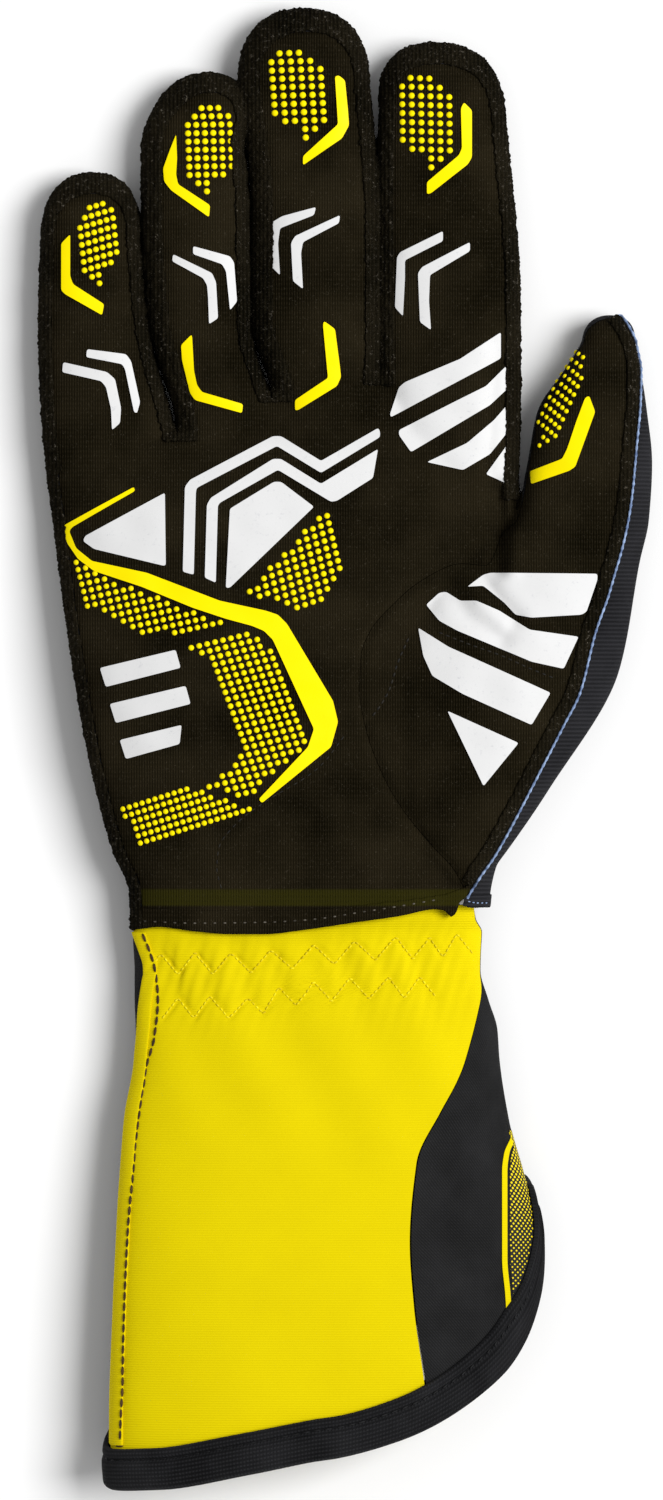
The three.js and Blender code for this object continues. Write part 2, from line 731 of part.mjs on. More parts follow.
for (const { name, colour, bends } of printLines) {
  addPiece(name, toGeometry(printLayer.intersect(prism(lineOutline(bends)))), colour);
}
for (const { name, corners } of printPatches) {
  const outline = corners.map(([x, y]) => new THREE.Vector2(handX(x), handY(y)));
  addPiece(name, toGeometry(printLayer.intersect(prism(outline))), "white");
}

// The cuff's section at a share of its length below the hem. Above the hem it is the hollow of the hand.
const rimLift = tapeClearance + bindingThickness; // the cloth is held clear of the surface by its binding
const lapInset = handWall + lapClearance;
// The share at which the cuff comes out of the hand, just clear of the slanted hem.
const lapEnd = (tubes.palm.rows[0].slant * handLength + 2 * gap) / cuffLength;
function cuffSection(down) {
  const y = hemY - down * cuffLength;
  if (down <= cuffRows[0].down) {
    const share = Math.max(0, -down * cuffLength) / handLength;
    const column = (name) => smooth(tubes.palm.rows, "y", name, share);
    const row = { left: column("left"), right: column("right"), depth: column("depth") };
    const hand = handSection(tubes.palm, row);
    const outside = Math.max(0, (down - lapEnd) / (cuffRows[0].down - lapEnd));
    const inset = {
      half: hand.half - lapInset,
      top: hand.top - lapInset,
      floor: lapInset,
      centre: hand.centre,
    };
    const free = freeCuffSection(cuffRows[0].down);
    const mixed = Object.fromEntries(
      Object.keys(inset).map((key) => [key, THREE.MathUtils.lerp(inset[key], free[key], outside)]),
    );
    return { ...mixed, y, slant: 0, close: 1 };
  }
  return { ...freeCuffSection(down), y, slant: 0, close: 1 };
}
function freeCuffSection(down) {
  const left = smooth(cuffRows, "down", "left", down) * cuffWidth;
  const right = smooth(cuffRows, "down", "right", down) * cuffWidth;
  return {
    centre: (left + right) / 2,
    half: (right - left) / 2,
    top: smooth(cuffRows, "down", "deep", down) * cuffDepth,
    floor: smooth(cuffRows, "down", "lift", down) * rimLift,
  };
}
const rimAt = (turn) => smooth(rimRows, "turn", "down", ((turn % 360) + 360) % 360);

// A point of the cuff's cloth. turn is in degrees, grow moves it off the outer face.
function cuffPoint(down, turn, grow) {
  const angle = THREE.MathUtils.degToRad(turn);
  const front = Math.max(0, Math.sin(angle) - gatherFade) / (1 - gatherFade);
  const pulled = gatherRows.reduce((sum, row) => {
    const away = (down - row.down) / gatherReach;
    const pucker = 1 - puckerShare * (1 - Math.cos(2 * angle * gatherCount));
    return sum + Math.exp(-(away ** 2)) * pucker;
  }, 0);
  return sectionPoint(cuffSection(down), angle, grow - gatherDepth * pulled * Math.sqrt(front));
}
// The turn at which a front line at x crosses the section.
function turnAt(down, x) {
  const section = cuffSection(down);
  const share = THREE.MathUtils.clamp((x - section.centre) / section.half, -1, 1);
  const across = Math.sign(share) * Math.abs(share) ** (sideRound / 2);
  return THREE.MathUtils.radToDeg(Math.acos(across));
}

// How steeply the rim climbs round the section.
function rimSteepness(turn) {
  const step = 6;
  const rim = rimAt(turn);
  const a = cuffPoint(rim, turn - step, 0).setY(0);
  const b = cuffPoint(rim, turn + step, 0).setY(0);
  const perDegree = a.distanceTo(b) / (2 * step);
  const climb = ((rimAt(turn + step) - rimAt(turn - step)) * cuffLength) / (2 * step);
  return Math.atan(climb / perDegree);
}

// A panel of the cuff between two turns, which may change down its length, from the lap to the rim.
const waist = 0.2; // above this share the rows of a panel are level, below it they follow the rim
const waistRows = [-lap / cuffLength, lapEnd, 0.036, 0.062, 0.09, 0.115, 0.14, 0.168, waist];
const rimSteps = 4;
const settleRounds = 24;
function panel({ from, to, columns, outside, inside, firstRow, endSetback }) {
  const rows = [];
  // An edge line is read at the point's own place down the cuff, which depends on its turn, so both are
  // settled together.
  const place = (share, downOf) => {
    let down = waist;
    let turn = 0;
    for (let round = 0; round < settleRounds; round += 1) {
      turn = THREE.MathUtils.lerp(from(down), to(down), share);
      down = (down + downOf(turn)) / 2;
    }
    return { down, turn };
  };
  const downs = [
    ...waistRows.slice(firstRow).map((down) => () => down),
    ...Array.from({ length: rimSteps }, (_, i) => (turn) => {
      const end = rimAt(turn) - endSetback / (cuffLength * Math.cos(rimSteepness(turn)));
      return THREE.MathUtils.lerp(waist, end, (i + 1) / rimSteps);
    }),
  ];
  for (const downOf of downs) {
    rows.push(Array.from({ length: columns + 1 }, (_, c) => place(c / columns, downOf)));
  }
  const at = (grow) => rows.map((row) => row.map(({ down, turn }) => cuffPoint(down, turn, grow)));
  return sheet(at(outside), at(inside));
}
const seamTurn = THREE.MathUtils.radToDeg(gap / cuffDepth); // the turn that opens the seams between panels
const sideLine = (down) => turnAt(down, smooth(sideLineRows, "down", "x", down) * cuffWidth);
const leftLine = (down) => smooth(leftLineRows, "down", "turn", down);
const cuffCloth = { outside: 0, inside: -cuffWall, firstRow: 0, endSetback: clothSetback };
const cuffPanels = [
  {
    name: "cuff_front",
    finish: "yellowCloth",
    shape: { from: (down) => sideLine(down) + seamTurn, to: leftLine, columns: 20, ...cuffCloth },
  },
  {
    name: "cuff_side",
    finish: "blackCloth",
    shape: { from: () => backTurn + seamTurn, to: sideLine, columns: 9, ...cuffCloth },
  },
  {
    name: "cuff_back",
    finish: "blackCloth",
    shape: { from: (down) => leftLine(down) + seamTurn, to: () => backTurn + 360, columns: 16, ...cuffCloth },
  },
  {
    // The folded seam edge down the little-finger side, from the palm's hem to the tape on the rim.
    name: "cuff_seam_strip",
    finish: "yellowCloth",
    shape: {
      from: (down) => turnAt(down, cuffPoint(down, leftLine(down), 0).x + seamStripWidth),
      to: leftLine,
      columns: 2,
      outside: gap + seamStripRise,
      inside: gap,
      firstRow: 2,
      endSetback: bindingWidth + gap,
    },
  },
];
for (const { name, finish, shape } of cuffPanels) {
  addPiece(name, panel(shape), finish);
}

// Elastic tape folded over the slanted rim: a channel that follows it all the way round.
function bindingRing(turn) {
  const rim = rimAt(turn);
  const steep = rimSteepness(turn);
  const at = (inward, grow) => cuffPoint(rim - inward / (cuffLength * Math.cos(steep)), turn, grow);
  const face = tapeClearance;
  const back = -cuffWall - tapeClearance;
  const fold = -gap;
  const steps = [bindingWidth, bindingWidth / 2, fold];
  const outerSteps = [bindingWidth, bindingWidth / 2, fold - bindingThickness];
  return [
    ...outerSteps.map((inward) => at(inward, face + bindingThickness)),
    ...outerSteps.toReversed().map((inward) => at(inward, back - bindingThickness)),
    ...steps.map((inward) => at(inward, back)),
    ...steps.toReversed().map((inward) => at(inward, face)),
  ];
}
const bindingRings = Array.from({ length: bindingSteps }, (_, i) => bindingRing((360 * i) / bindingSteps));
addPiece("cuff_binding", loft(bindingRings, true), "tape");

export default glove;
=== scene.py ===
# %% [markdown]
# # A karting glove, palm up
# The glove lies on its back on a pale floor. Its hand is a set of sewn cloth panels, its grip is printed in
# silicone, and its long cuff is a woven gauntlet with a bound, slanted rim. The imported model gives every
# piece's place and size. This script makes the fine surface of each piece in the same frame.

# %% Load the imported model
import math

import bpy
import numpy as np
from mathutils import Matrix, Vector
from mathutils.bvhtree import BVHTree


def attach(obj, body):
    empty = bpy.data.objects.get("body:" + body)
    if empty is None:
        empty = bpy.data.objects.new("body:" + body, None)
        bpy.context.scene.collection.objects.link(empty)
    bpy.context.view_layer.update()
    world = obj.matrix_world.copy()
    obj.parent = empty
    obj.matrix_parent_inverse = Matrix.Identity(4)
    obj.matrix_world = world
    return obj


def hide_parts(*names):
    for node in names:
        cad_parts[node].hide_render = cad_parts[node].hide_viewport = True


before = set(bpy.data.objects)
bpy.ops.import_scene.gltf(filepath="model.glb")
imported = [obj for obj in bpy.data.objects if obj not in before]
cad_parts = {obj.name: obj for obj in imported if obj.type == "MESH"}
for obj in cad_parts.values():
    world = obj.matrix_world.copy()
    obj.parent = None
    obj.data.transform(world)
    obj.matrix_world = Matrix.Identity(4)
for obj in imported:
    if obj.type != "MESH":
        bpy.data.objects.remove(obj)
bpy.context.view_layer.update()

# %% [markdown]
# ## Camera, floor and light
# The photograph looks straight down through a long lens, so the glove shows almost no perspective. A pixel of
# the photograph is 0.23 mm on the palm. The light is one large soft box at the upper right and a bright
# surround, which gives the soft shadow on the left side.

# %% Photograph to millimetres
mm = 0.001
photo_size = (663, 1500)
pixel = 0.23  # millimetres on the palm for each pixel of the photograph
origin_pixel = np.array([346.0, 749.0])  # the pixel that shows the frame's origin


def photo(points):
    """Points of the photograph as millimetres in the frame, seen from above."""
    away = np.atleast_2d(np.array(points, float)) - origin_pixel
    return away * pixel * np.array([1, -1])


# %% Camera
palm_height = 14  # the height at which the photograph's scale holds
camera_height = 2600
view_centre = photo([(photo_size[0] / 2, photo_size[1] / 2)])[0]
bpy.ops.object.camera_add(location=(view_centre[0] * mm, view_centre[1] * mm, camera_height * mm))
camera = bpy.context.object
camera.rotation_euler = (0, 0, 0)
camera.data.sensor_width = 36
camera.data.lens = 36 * (camera_height - palm_height) / (photo_size[1] * pixel)
camera.data.clip_end = 20
bpy.context.scene.camera = camera

# %% Floor and light
floor_drop = 0.0004
bpy.ops.mesh.primitive_plane_add(size=6, location=(0, 0, -floor_drop))
floor = bpy.context.object
floor.name = "floor"
floor_material = bpy.data.materials.new("pale floor")
floor_material.use_nodes = True
floor_shader = floor_material.node_tree.nodes["Principled BSDF"]
floor_shader.inputs["Base Color"].default_value = (0.93, 0.93, 0.93, 1)
floor_shader.inputs["Roughness"].default_value = 0.9
floor_shader.inputs["Specular IOR Level"].default_value = 0.1
floor.data.materials.append(floor_material)


def add_light(place, target, size, watts):
    bpy.ops.object.light_add(type="AREA", location=place)
    lamp = bpy.context.object
    lamp.data.size = size
    lamp.data.energy = watts
    lamp.rotation_euler = (Vector(target) - Vector(place)).to_track_quat("-Z", "Y").to_euler()
    return lamp


add_light((2.2, 0.34, 3.0), (0, 0, 0), 2.0, 142)
world = bpy.data.worlds.new("surround")
world.use_nodes = True
world.node_tree.nodes["Background"].inputs["Color"].default_value = (1, 1, 1, 1)
world.node_tree.nodes["Background"].inputs["Strength"].default_value = 0.41
bpy.context.scene.world = world
bpy.context.scene.view_settings.view_transform = "Standard"

# %% [markdown]
# ## Sizes and tables
# A cloth section is a rounded box that is cut flat where it lies. A tube is a row of such sections, closed at
# the fingertip. The tables hold shares of the hand's width and length, as a pattern maker grades a glove.

# %% Sizes of the hand
hand_width = 109
hand_length = 211.6
cuff_length = 128.3
cuff_width = 100.8
cuff_depth = 24
hem_y = (cuff_length - hand_length) / 2
hand_wall = 1.6
cuff_wall = 1.5
seam_share = 0.46
flat_sink = 1.4
side_round = 2.5
rest_round = 3.4
cap_round = 2.35
split_height = 6.4


def table(columns, *rows):
    """A short table with named columns."""
    return [dict(zip(columns.split(), row)) for row in rows]


tubes = {
    "little": {
        "deep": 14,
        "tip": (-0.536, 0.824),
        "rows": table(
            "y left right depth",
            (0.446, -0.6, -0.325, 0.98),
            (0.536, -0.638, -0.36, 1.0),
            (0.662, -0.648, -0.422, 0.96),
            (0.755, -0.643, -0.438, 0.92),
        ),
    },
    "ring": {
        "deep": 14,
        "tip": (-0.291, 0.933),
        "rows": table(
            "y left right depth",
            (0.446, -0.414, -0.139, 1.0),
            (0.536, -0.353, -0.143, 1.0),
            (0.662, -0.414, -0.204, 0.98),
            (0.78, -0.43, -0.206, 0.96),
            (0.859, -0.43, -0.218, 0.93),
        ),
    },
    "middle": {
        "deep": 14,
        "tip": (-0.09, 1.003),
        "rows": table(
            "y left right depth",
            (0.446, -0.177, 0.082, 1.0),
            (0.578, -0.152, 0.066, 1.02),
            (0.664, -0.197, 0.072, 1.0),
            (0.78, -0.196, 0.07, 0.98),
            (0.922, -0.226, 0.047, 0.95),
        ),
    },
    "index": {
        "deep": 14,
        "tip": (0.19, 0.966),
        "rows": table(
            "y left right depth",
            (0.446, 0.082, 0.36, 1.0),
            (0.603, 0.072, 0.367, 1.02),
            (0.697, 0.069, 0.366, 1.0),
            (0.85, 0.07, 0.342, 0.97),
            (0.897, 0.074, 0.333, 0.95),
        ),
    },
    "thumb": {
        "deep": 16,
        "tip": (0.559, 0.67),
        "rows": table(
            "y left right depth",
            (0.05, 0.211, 0.287, 1.1),
            (0.087, 0.146, 0.342, 1.3),
            (0.152, 0.082, 0.428, 1.42),
            (0.283, 0.055, 0.578, 1.4),
            (0.402, 0.219, 0.622, 1.15),
            (0.446, 0.357, 0.641, 1.05),
            (0.509, 0.384, 0.648, 1.0),
            (0.565, 0.405, 0.637, 0.97),
            (0.61, 0.462, 0.624, 0.9),
            (0.64, 0.499, 0.612, 0.8),
        ),
    },
    "palm": {
        "deep": 21,
        "tip": (0.1, 0.604),
        "rows": table(
            "y left right depth",
            (-0.08, -0.45, 0.3, 0.84),
            (0.0, -0.45, 0.3, 0.84),
            (0.041, -0.452, 0.306, 0.88),
            (0.087, -0.488, 0.325, 0.95),
            (0.217, -0.549, 0.344, 1.0),
            (0.446, -0.614, 0.354, 0.8),
            (0.522, -0.63, 0.35, 0.71),
            (0.541, -0.376, 0.35, 0.64),
            (0.574, -0.308, 0.35, 0.58),
            (0.587, -0.15, 0.36, 0.5),
        ),
    },
}
finger_names = ["little", "ring", "middle", "index"]
# The seam allowances stand this far outside the cloth of the fingers.
finger_slimming = 0.45
# How far the sewn seam lies inside a finger's outline, on its left, on its right and at its tip.
seam_insets = {
    "little": (2.7, 2.7, 4.8),
    "ring": (4.3, 2.7, 4.6),
    "middle": (4.5, 3.1, 5.4),
    "index": (3.3, 3.0, 5.0),
    "thumb": (0.6, 3.4, 3.2),
    "palm": (2.2, 3.0, 0.0),
}

# %% [markdown]
# ## Sections and lofts
# Every section function takes arrays, so one call gives all the points of a ring. The curve through a table's
# rows never overshoots them, which keeps a cloth outline calm.

# %% Curves through tables
def along(rows, key, column, places):
    """A column of a table at other places, on a curve that doesn't overshoot."""
    x = np.array([row[key] for row in rows], float)
    y = np.array([row[column] for row in rows], float)
    steps = np.diff(x)
    rises = np.diff(y) / steps
    before, after = rises[:-1], rises[1:]
    total = np.where(before + after == 0, 1, before + after)
    slopes = np.concatenate(
        [rises[:1], np.where(before * after > 0, 2 * before * after / total, 0), rises[-1:]]
    )
    places = np.asarray(places, float)
    i = np.clip(np.searchsorted(x, places) - 1, 0, len(x) - 2)
    t = np.clip((places - x[i]) / steps[i], 0, 1)
    low = (2 * t**3 - 3 * t**2 + 1) * y[i] + (t**3 - 2 * t**2 + t) * steps[i] * slopes[i]
    high = (3 * t**2 - 2 * t**3) * y[i + 1] + (t**3 - t**2) * steps[i] * slopes[i + 1]
    return low + high


def section_points(centre, half, top, floor_height, y, close, angles, grow):
    """Points of a cloth section, with its surface moved out by grow."""
    across, up = np.cos(angles), np.sin(angles)
    power = np.where(up >= 0, 2 / side_round, 2 / rest_round)
    seam = floor_height + seam_share * (top - floor_height)
    reach = np.where(up >= 0, top - seam + grow, seam - floor_height + flat_sink + grow)
    x = centre + np.sign(across) * np.abs(across) ** power * close * (half + grow)
    z = seam + np.sign(up) * np.abs(up) ** power * reach * close
    z = np.maximum(z, np.maximum(floor_height - grow, 0))
    return np.stack([x, np.broadcast_to(y, x.shape), z], axis=-1)


def tube_stations(name, grow, root=None):
    """The sections of a tube, with its rounded tip."""
    tube = tubes[name]
    rows = tube["rows"]
    first = rows[0]["y"] if root is None else root
    ys = np.linspace(first, rows[-1]["y"], int((rows[-1]["y"] - first) * hand_length / 1.6) + 2)
    left = along(rows, "y", "left", ys) * hand_width
    right = along(rows, "y", "right", ys) * hand_width
    stations = [
        {"y": hem_y + y * hand_length, "centre": (a + b) / 2, "half": (b - a) / 2, "top": t, "close": 1.0}
        for y, a, b, t in zip(ys, left, right, along(rows, "y", "depth", ys) * tube["deep"])
    ]
    full = stations[-1]
    tip_x = tube["tip"][0] * hand_width
    reach = hem_y + tube["tip"][1] * hand_length + grow - full["y"]
    for angle in np.radians(np.linspace(8, 86, 14)):
        forward = math.sin(angle) ** (2 / cap_round)
        centre = full["centre"] + (tip_x - full["centre"]) * forward
        close = math.cos(angle) ** (2 / cap_round)
        stations.append({**full, "y": full["y"] + reach * forward, "centre": centre, "close": close})
    return stations


# %% Mesh helpers
def select_only(piece):
    bpy.ops.object.select_all(action="DESELECT")
    piece.select_set(True)
    bpy.context.view_layer.objects.active = piece


def new_piece(name, points, faces):
    """A mesh object from points in millimetres."""
    mesh = bpy.data.meshes.new(name)
    mesh.from_pydata((np.asarray(points, float) * mm).tolist(), [], faces)
    piece = bpy.data.objects.new(name, mesh)
    bpy.context.scene.collection.objects.link(piece)
    return piece


def copy_piece(piece, name):
    twin = piece.copy()
    twin.data = piece.data.copy()
    twin.name = name
    bpy.context.scene.collection.objects.link(twin)
    return twin


def drop_piece(*pieces):
    for piece in pieces:
        bpy.data.objects.remove(piece)


def finish_with(piece, kind, **settings):
    """Adds a modifier and applies it."""
    select_only(piece)
    modifier = piece.modifiers.new(kind.title(), kind)
    for name, value in settings.items():
        setattr(modifier, name, value)
    bpy.ops.object.modifier_apply(modifier=modifier.name)
    return piece


def boolean(piece, operation, other):
    return finish_with(piece, "BOOLEAN", operation=operation, object=other, solver="MANIFOLD")


def points_of(piece):
    flat = np.empty(len(piece.data.vertices) * 3)
    piece.data.vertices.foreach_get("co", flat)
    return flat.reshape(-1, 3) / mm


def normals_of(piece):
    flat = np.empty(len(piece.data.vertices) * 3)
    piece.data.vertices.foreach_get("normal", flat)
    return flat.reshape(-1, 3)


def move_points(piece, points):
    piece.data.vertices.foreach_set("co", (points * mm).ravel())
    piece.data.update()


def smooth_shading(piece, degrees=40):
    select_only(piece)
    bpy.ops.object.shade_smooth_by_angle(angle=math.radians(degrees))


def loft_faces(rings, sides, start=0, is_loop=False):
    """Quads between rings of equal count, with both ends closed unless the rings make a loop."""
    faces = []
    for r in range(rings if is_loop else rings - 1):
        low, high = start + r * sides, start + (r + 1) % rings * sides
        faces += [(low + s, low + (s + 1) % sides, high + (s + 1) % sides, high + s) for s in range(sides)]
    if not is_loop:
        faces.append(tuple(start + s for s in reversed(range(sides))))
        faces.append(tuple(start + (rings - 1) * sides + s for s in range(sides)))
    return faces


def face_outwards(piece):
    select_only(piece)
    bpy.ops.object.mode_set(mode="EDIT")
    bpy.ops.mesh.select_all(action="SELECT")
    bpy.ops.mesh.normals_make_consistent(inside=False)
    bpy.ops.object.mode_set(mode="OBJECT")


# %% [markdown]
# ## The hand's form
# On the real glove the panels are cut flat and take a hand's form where they are sewn. Fusing six tubes with
# a voxel remesh gives that form in one piece, with soft webs between the fingers. The folds are then pressed
# into it as dents along lines, because a hand's creases always lie in the same places.

# %% Fused hand
tube_sides = 64


def fused_hand(name, grow, palm_root, voxel):
    points, faces = [], []
    for tube in tubes:
        moved = grow - (finger_slimming if tube in finger_names else 0)
        stations = tube_stations(tube, moved, palm_root if tube == "palm" else None)
        angles = np.linspace(0, 2 * np.pi, tube_sides, endpoint=False)
        for s in stations:
            points += section_points(
                s["centre"], s["half"], s["top"], 0, s["y"], s["close"], angles, moved
            ).tolist()
        faces += loft_faces(len(stations), tube_sides, len(points) - len(stations) * tube_sides)
    hand = new_piece(name, points, faces)
    face_outwards(hand)
    finish_with(hand, "REMESH", mode="VOXEL", voxel_size=voxel * mm, use_smooth_shade=True)
    finish_with(hand, "SMOOTH", factor=0.5, iterations=5)
    return hand


hand = fused_hand("hand form", 0, -0.03, 0.8)
hollow = fused_hand("hand hollow", -hand_wall, -0.08, 1.2)
print("hand form", len(hand.data.polygons), "hollow", len(hollow.data.polygons))

# %% Lines on the hand
thumb_seam = photo(
    [(519, 506), (505, 528), (485, 566), (462, 564), (420, 582), (393, 605), (370, 632), (361, 658),
     (360, 693), (364, 720), (372, 748), (386, 781), (402, 808), (430, 843), (453, 868), (464, 887)]
)
thumb_edge = photo(
    [(466, 898), (478, 877), (492, 857), (508, 829), (531, 785), (562, 725), (578, 693), (594, 632), (608, 592),
     (629, 508), (636, 439), (639, 404), (640, 369), (636, 344), (627, 325), (619, 312)]
)
top_stitch = photo([(409, 637), (398, 662), (389, 690), (380, 706), (371, 718)])
bar_stitch = photo([(437, 632), (470, 645), (501, 656), (530, 669), (555, 679)])
palm_seam = photo([(345, 735), (318, 768), (260, 805), (234, 826), (219, 848), (217, 868), (222, 890)])
hem_line = photo(
    [(124, 926), (130, 930), (159, 927), (193, 931), (229, 934), (265, 934), (302, 930), (350, 923), (399, 916),
     (437, 909), (445, 911), (451, 917), (456, 913), (460, 902), (467, 897)]
)


def smooth_line(line, step=0.8):
    """A line through the given points, cut into short even steps."""
    lengths = np.concatenate([[0], np.cumsum(np.linalg.norm(np.diff(line, axis=0), axis=1))])
    rows = [{"s": s, "x": x, "y": y} for s, (x, y) in zip(lengths, line)]
    places = np.linspace(0, lengths[-1], max(2, int(lengths[-1] / step)))
    return np.stack([along(rows, "s", "x", places), along(rows, "s", "y", places)], axis=1)


def distance_to(points, line):
    """How far points lie from a line, seen from above."""
    best = np.full(len(points), 1e9)
    for a, b in zip(line[:-1], line[1:]):
        d = b - a
        t = np.clip(((points - a) @ d) / max(d @ d, 1e-9), 0, 1)
        best = np.minimum(best, np.linalg.norm(points - (a + t[:, None] * d), axis=1))
    return best


# %% [markdown]
# A fold is a line, a width and a depth. Deep folds move the inner face as well, so that the wall keeps its
# thickness. Fine dents, such as the pull of a seam, are pressed into the outer face alone.

# %% Folds and dents
folds = [
    # The web between palm and thumb, and what it pulls with it.
    ([(499, 492), (500, 530), (499, 566)], 2.3, 3.2),
    ([(513, 496), (514, 540), (510, 570)], 2.0, -0.9),
    ([(519, 455), (519, 505)], 1.6, 2.0),
    ([(478, 566), (492, 592), (514, 618)], 2.2, 1.3),
    ([(462, 582), (484, 606), (502, 622)], 2.0, -0.5),
    ([(452, 590), (470, 620), (500, 640)], 2.5, 1.0),
    ([(495, 345), (492, 400), (489, 470)], 1.6, 0.5),
    ([(400, 528), (450, 512), (488, 500)], 6.0, 1.3),
    ([(385, 572), (435, 548), (482, 540)], 5.5, -1.0),
    ([(532, 512), (560, 516), (600, 545)], 4.5, -0.9),
    ([(528, 545), (560, 550), (595, 566)], 4.0, 0.6),
    # Soft hollows across the palm and the finger roots.
    ([(150, 470), (230, 440), (330, 450), (420, 480)], 7.0, 1.0),
    ([(70, 470), (150, 450)], 6.0, 0.5),
    ([(300, 640), (350, 700), (370, 800)], 8.0, 0.8),
    ([(120, 800), (200, 850), (330, 870)], 9.0, 0.5),
    ([(60, 330), (130, 330)], 4.0, 0.35),
    ([(150, 232), (245, 236)], 4.0, 0.35),
    ([(255, 180), (350, 184)], 4.0, 0.35),
    ([(390, 205), (510, 215)], 4.0, 0.35),
    ([(160, 300), (245, 330)], 4.0, 0.3),
    ([(390, 320), (500, 300)], 4.0, 0.3),
    ([(540, 410), (630, 430)], 4.0, 0.3),
]
fine_dents = [
    (thumb_seam, 0.9, 0.75),
    (top_stitch, 0.8, 0.4),
    (bar_stitch, 0.8, 0.35),
    (palm_seam, 0.9, 0.3),
    (palm_seam + np.array([0, -1.6]), 1.2, -0.12),
]


def faces_up(piece):
    """1 where the surface faces up, 0 on its sides and underneath."""
    return np.clip((normals_of(piece)[:, 2] - 0.1) / 0.5, 0, 1)


def ripple(points, pitch, seed):
    """A soft random relief, from a few crossed waves."""
    waves = np.random.default_rng(seed)
    total = np.zeros(len(points))
    for _ in range(7):
        turn, phase = waves.uniform(0, 2 * np.pi, 2)
        length = pitch * waves.uniform(0.7, 1.6)
        along_wave = points[:, 0] * math.cos(turn) + points[:, 1] * math.sin(turn) + 0.6 * points[:, 2]
        total += np.sin(2 * np.pi * along_wave / length + phase)
    return total / 7


def press(piece, dents, lift=0.0):
    points = points_of(piece)
    weight = faces_up(piece)
    down = np.zeros(len(points))
    for line, width, depth in dents:
        away = distance_to(points[:, :2], smooth_line(line, 2.0))
        down += depth * np.exp(-((away / width) ** 2))
    points[:, 2] -= down * weight
    points += normals_of(piece) * (lift * ripple(points, 9, 3) * weight)[:, None]
    move_points(piece, points)


deep_folds = [(photo(line), width, depth) for line, width, depth in folds]
press(hand, deep_folds, lift=0.22)
press(hollow, deep_folds)
press(hand, fine_dents)

# %% Looking down on a surface
class Surface:
    """Finds the height and the normal of a piece under a point."""

    def __init__(self, *pieces):
        points, faces, start = [], [], 0
        for piece in pieces:
            points.append(points_of(piece))
            faces += [[start + i for i in polygon.vertices] for polygon in piece.data.polygons]
            start += len(points[-1])
        self.tree = BVHTree.FromPolygons(np.concatenate(points).tolist(), faces)

    def under(self, x, y, height=80):
        place, normal, _, _ = self.tree.ray_cast(Vector((x, y, height)), Vector((0, 0, -1)))
        if place is None:
            place, normal, _, _ = self.tree.find_nearest(Vector((x, y, split_height)))
        return place, normal


hand_surface = Surface(hand)

# %% [markdown]
# ## Cutting the panels
# The wall of the hand is the form with its hollow taken out. Each panel is what a pattern piece leaves of
# that wall, so neighbours share one seam. The pattern pieces are outlines drawn up into prisms.

# %% Pattern pieces
def inset_outline(name, insets, root=None, grow=0.0):
    """A tube's outline from above, moved in by a distance on its left, on its right and at its tip."""
    left_inset, right_inset, tip_inset = insets
    left, right = [], []
    stations = tube_stations(name, -tip_inset, root)
    for s in stations:
        a = s["centre"] - s["half"] + left_inset - grow
        b = s["centre"] + s["half"] - right_inset + grow
        middle = (a + b) / 2
        left.append((middle + (a - middle) * s["close"], s["y"]))
        right.append((middle + (b - middle) * s["close"], s["y"]))
    return np.array(right + left[::-1])


def prism(name, outline, low=split_height, high=60):
    """An outline drawn up into a solid."""
    points = np.column_stack([outline, np.full(len(outline), low)])
    piece = new_piece(name, points, [tuple(range(len(outline)))])
    select_only(piece)
    bpy.ops.object.mode_set(mode="EDIT")
    bpy.ops.mesh.select_all(action="SELECT")
    bpy.ops.mesh.extrude_region_move(TRANSFORM_OT_translate={"value": (0, 0, (high - low) * mm)})
    bpy.ops.mesh.select_all(action="SELECT")
    bpy.ops.mesh.normals_make_consistent(inside=False)
    bpy.ops.object.mode_set(mode="OBJECT")
    return piece


def offset_line(line, distance):
    """A line moved to its left by a distance."""
    direction = np.gradient(line, axis=0)
    direction /= np.maximum(np.linalg.norm(direction, axis=1), 1e-9)[:, None]
    return line + np.column_stack([-direction[:, 1], direction[:, 0]]) * distance


# The palm's cloth runs through the web between index finger and thumb.
web_corners = [(470, 470), (509, 466), (521, 470), (523, 495), (519, 520), (505, 570), (470, 570)]
seam_line = smooth_line(thumb_seam, 1.5)
edge_line = smooth_line(thumb_edge, 1.5)
hem_curve = smooth_line(hem_line, 1.0)
cloth_gap = 0.12


def above_hem(name):
    """All of the hand above its hem."""
    corners = [(hem_curve[-1][0], hem_curve[-1][1]), (90, hem_curve[-1][1] - 2.2), (90, 190), (-90, 190)]
    start = (-90, hem_curve[0][1])
    outline = np.array([start, *hem_curve, *corners])
    return prism(name, outline, -1)


def thumb_pattern(grow):
    outline = np.vstack([
        offset_line(seam_line, -grow), offset_line(edge_line, -grow), [(70, 115), (41.5, 115)],
    ])
    area = prism("thumb area", outline)
    thumb = prism("thumb outline", inset_outline("thumb", (0.5 - grow, -6, 0.6 - grow), 0.15))
    heel = prism("thumb heel", np.array([(-100, -60), (100, -60), (100, hem_y + 89), (-100, hem_y + 89)]))
    boolean(thumb, "UNION", heel)
    boolean(area, "INTERSECT", thumb)
    drop_piece(thumb, heel)
    return area


def back_pattern(grow):
    line = offset_line(edge_line, grow)
    outline = np.vstack([[(100, -70), (line[0][0], -70)], line, [(line[-1][0], 118), (100, 118)]])
    return prism("back area", outline)


def palm_pattern(grow):
    palm = prism("palm pattern", inset_outline("palm", seam_insets["palm"], -0.03, grow))
    for name in finger_names:
        finger = prism("finger pattern", inset_outline(name, seam_insets[name], None, grow))
        boolean(palm, "UNION", finger)
        drop_piece(finger)
    web = prism("web", photo(web_corners))
    boolean(palm, "UNION", web)
    drop_piece(web)
    return palm


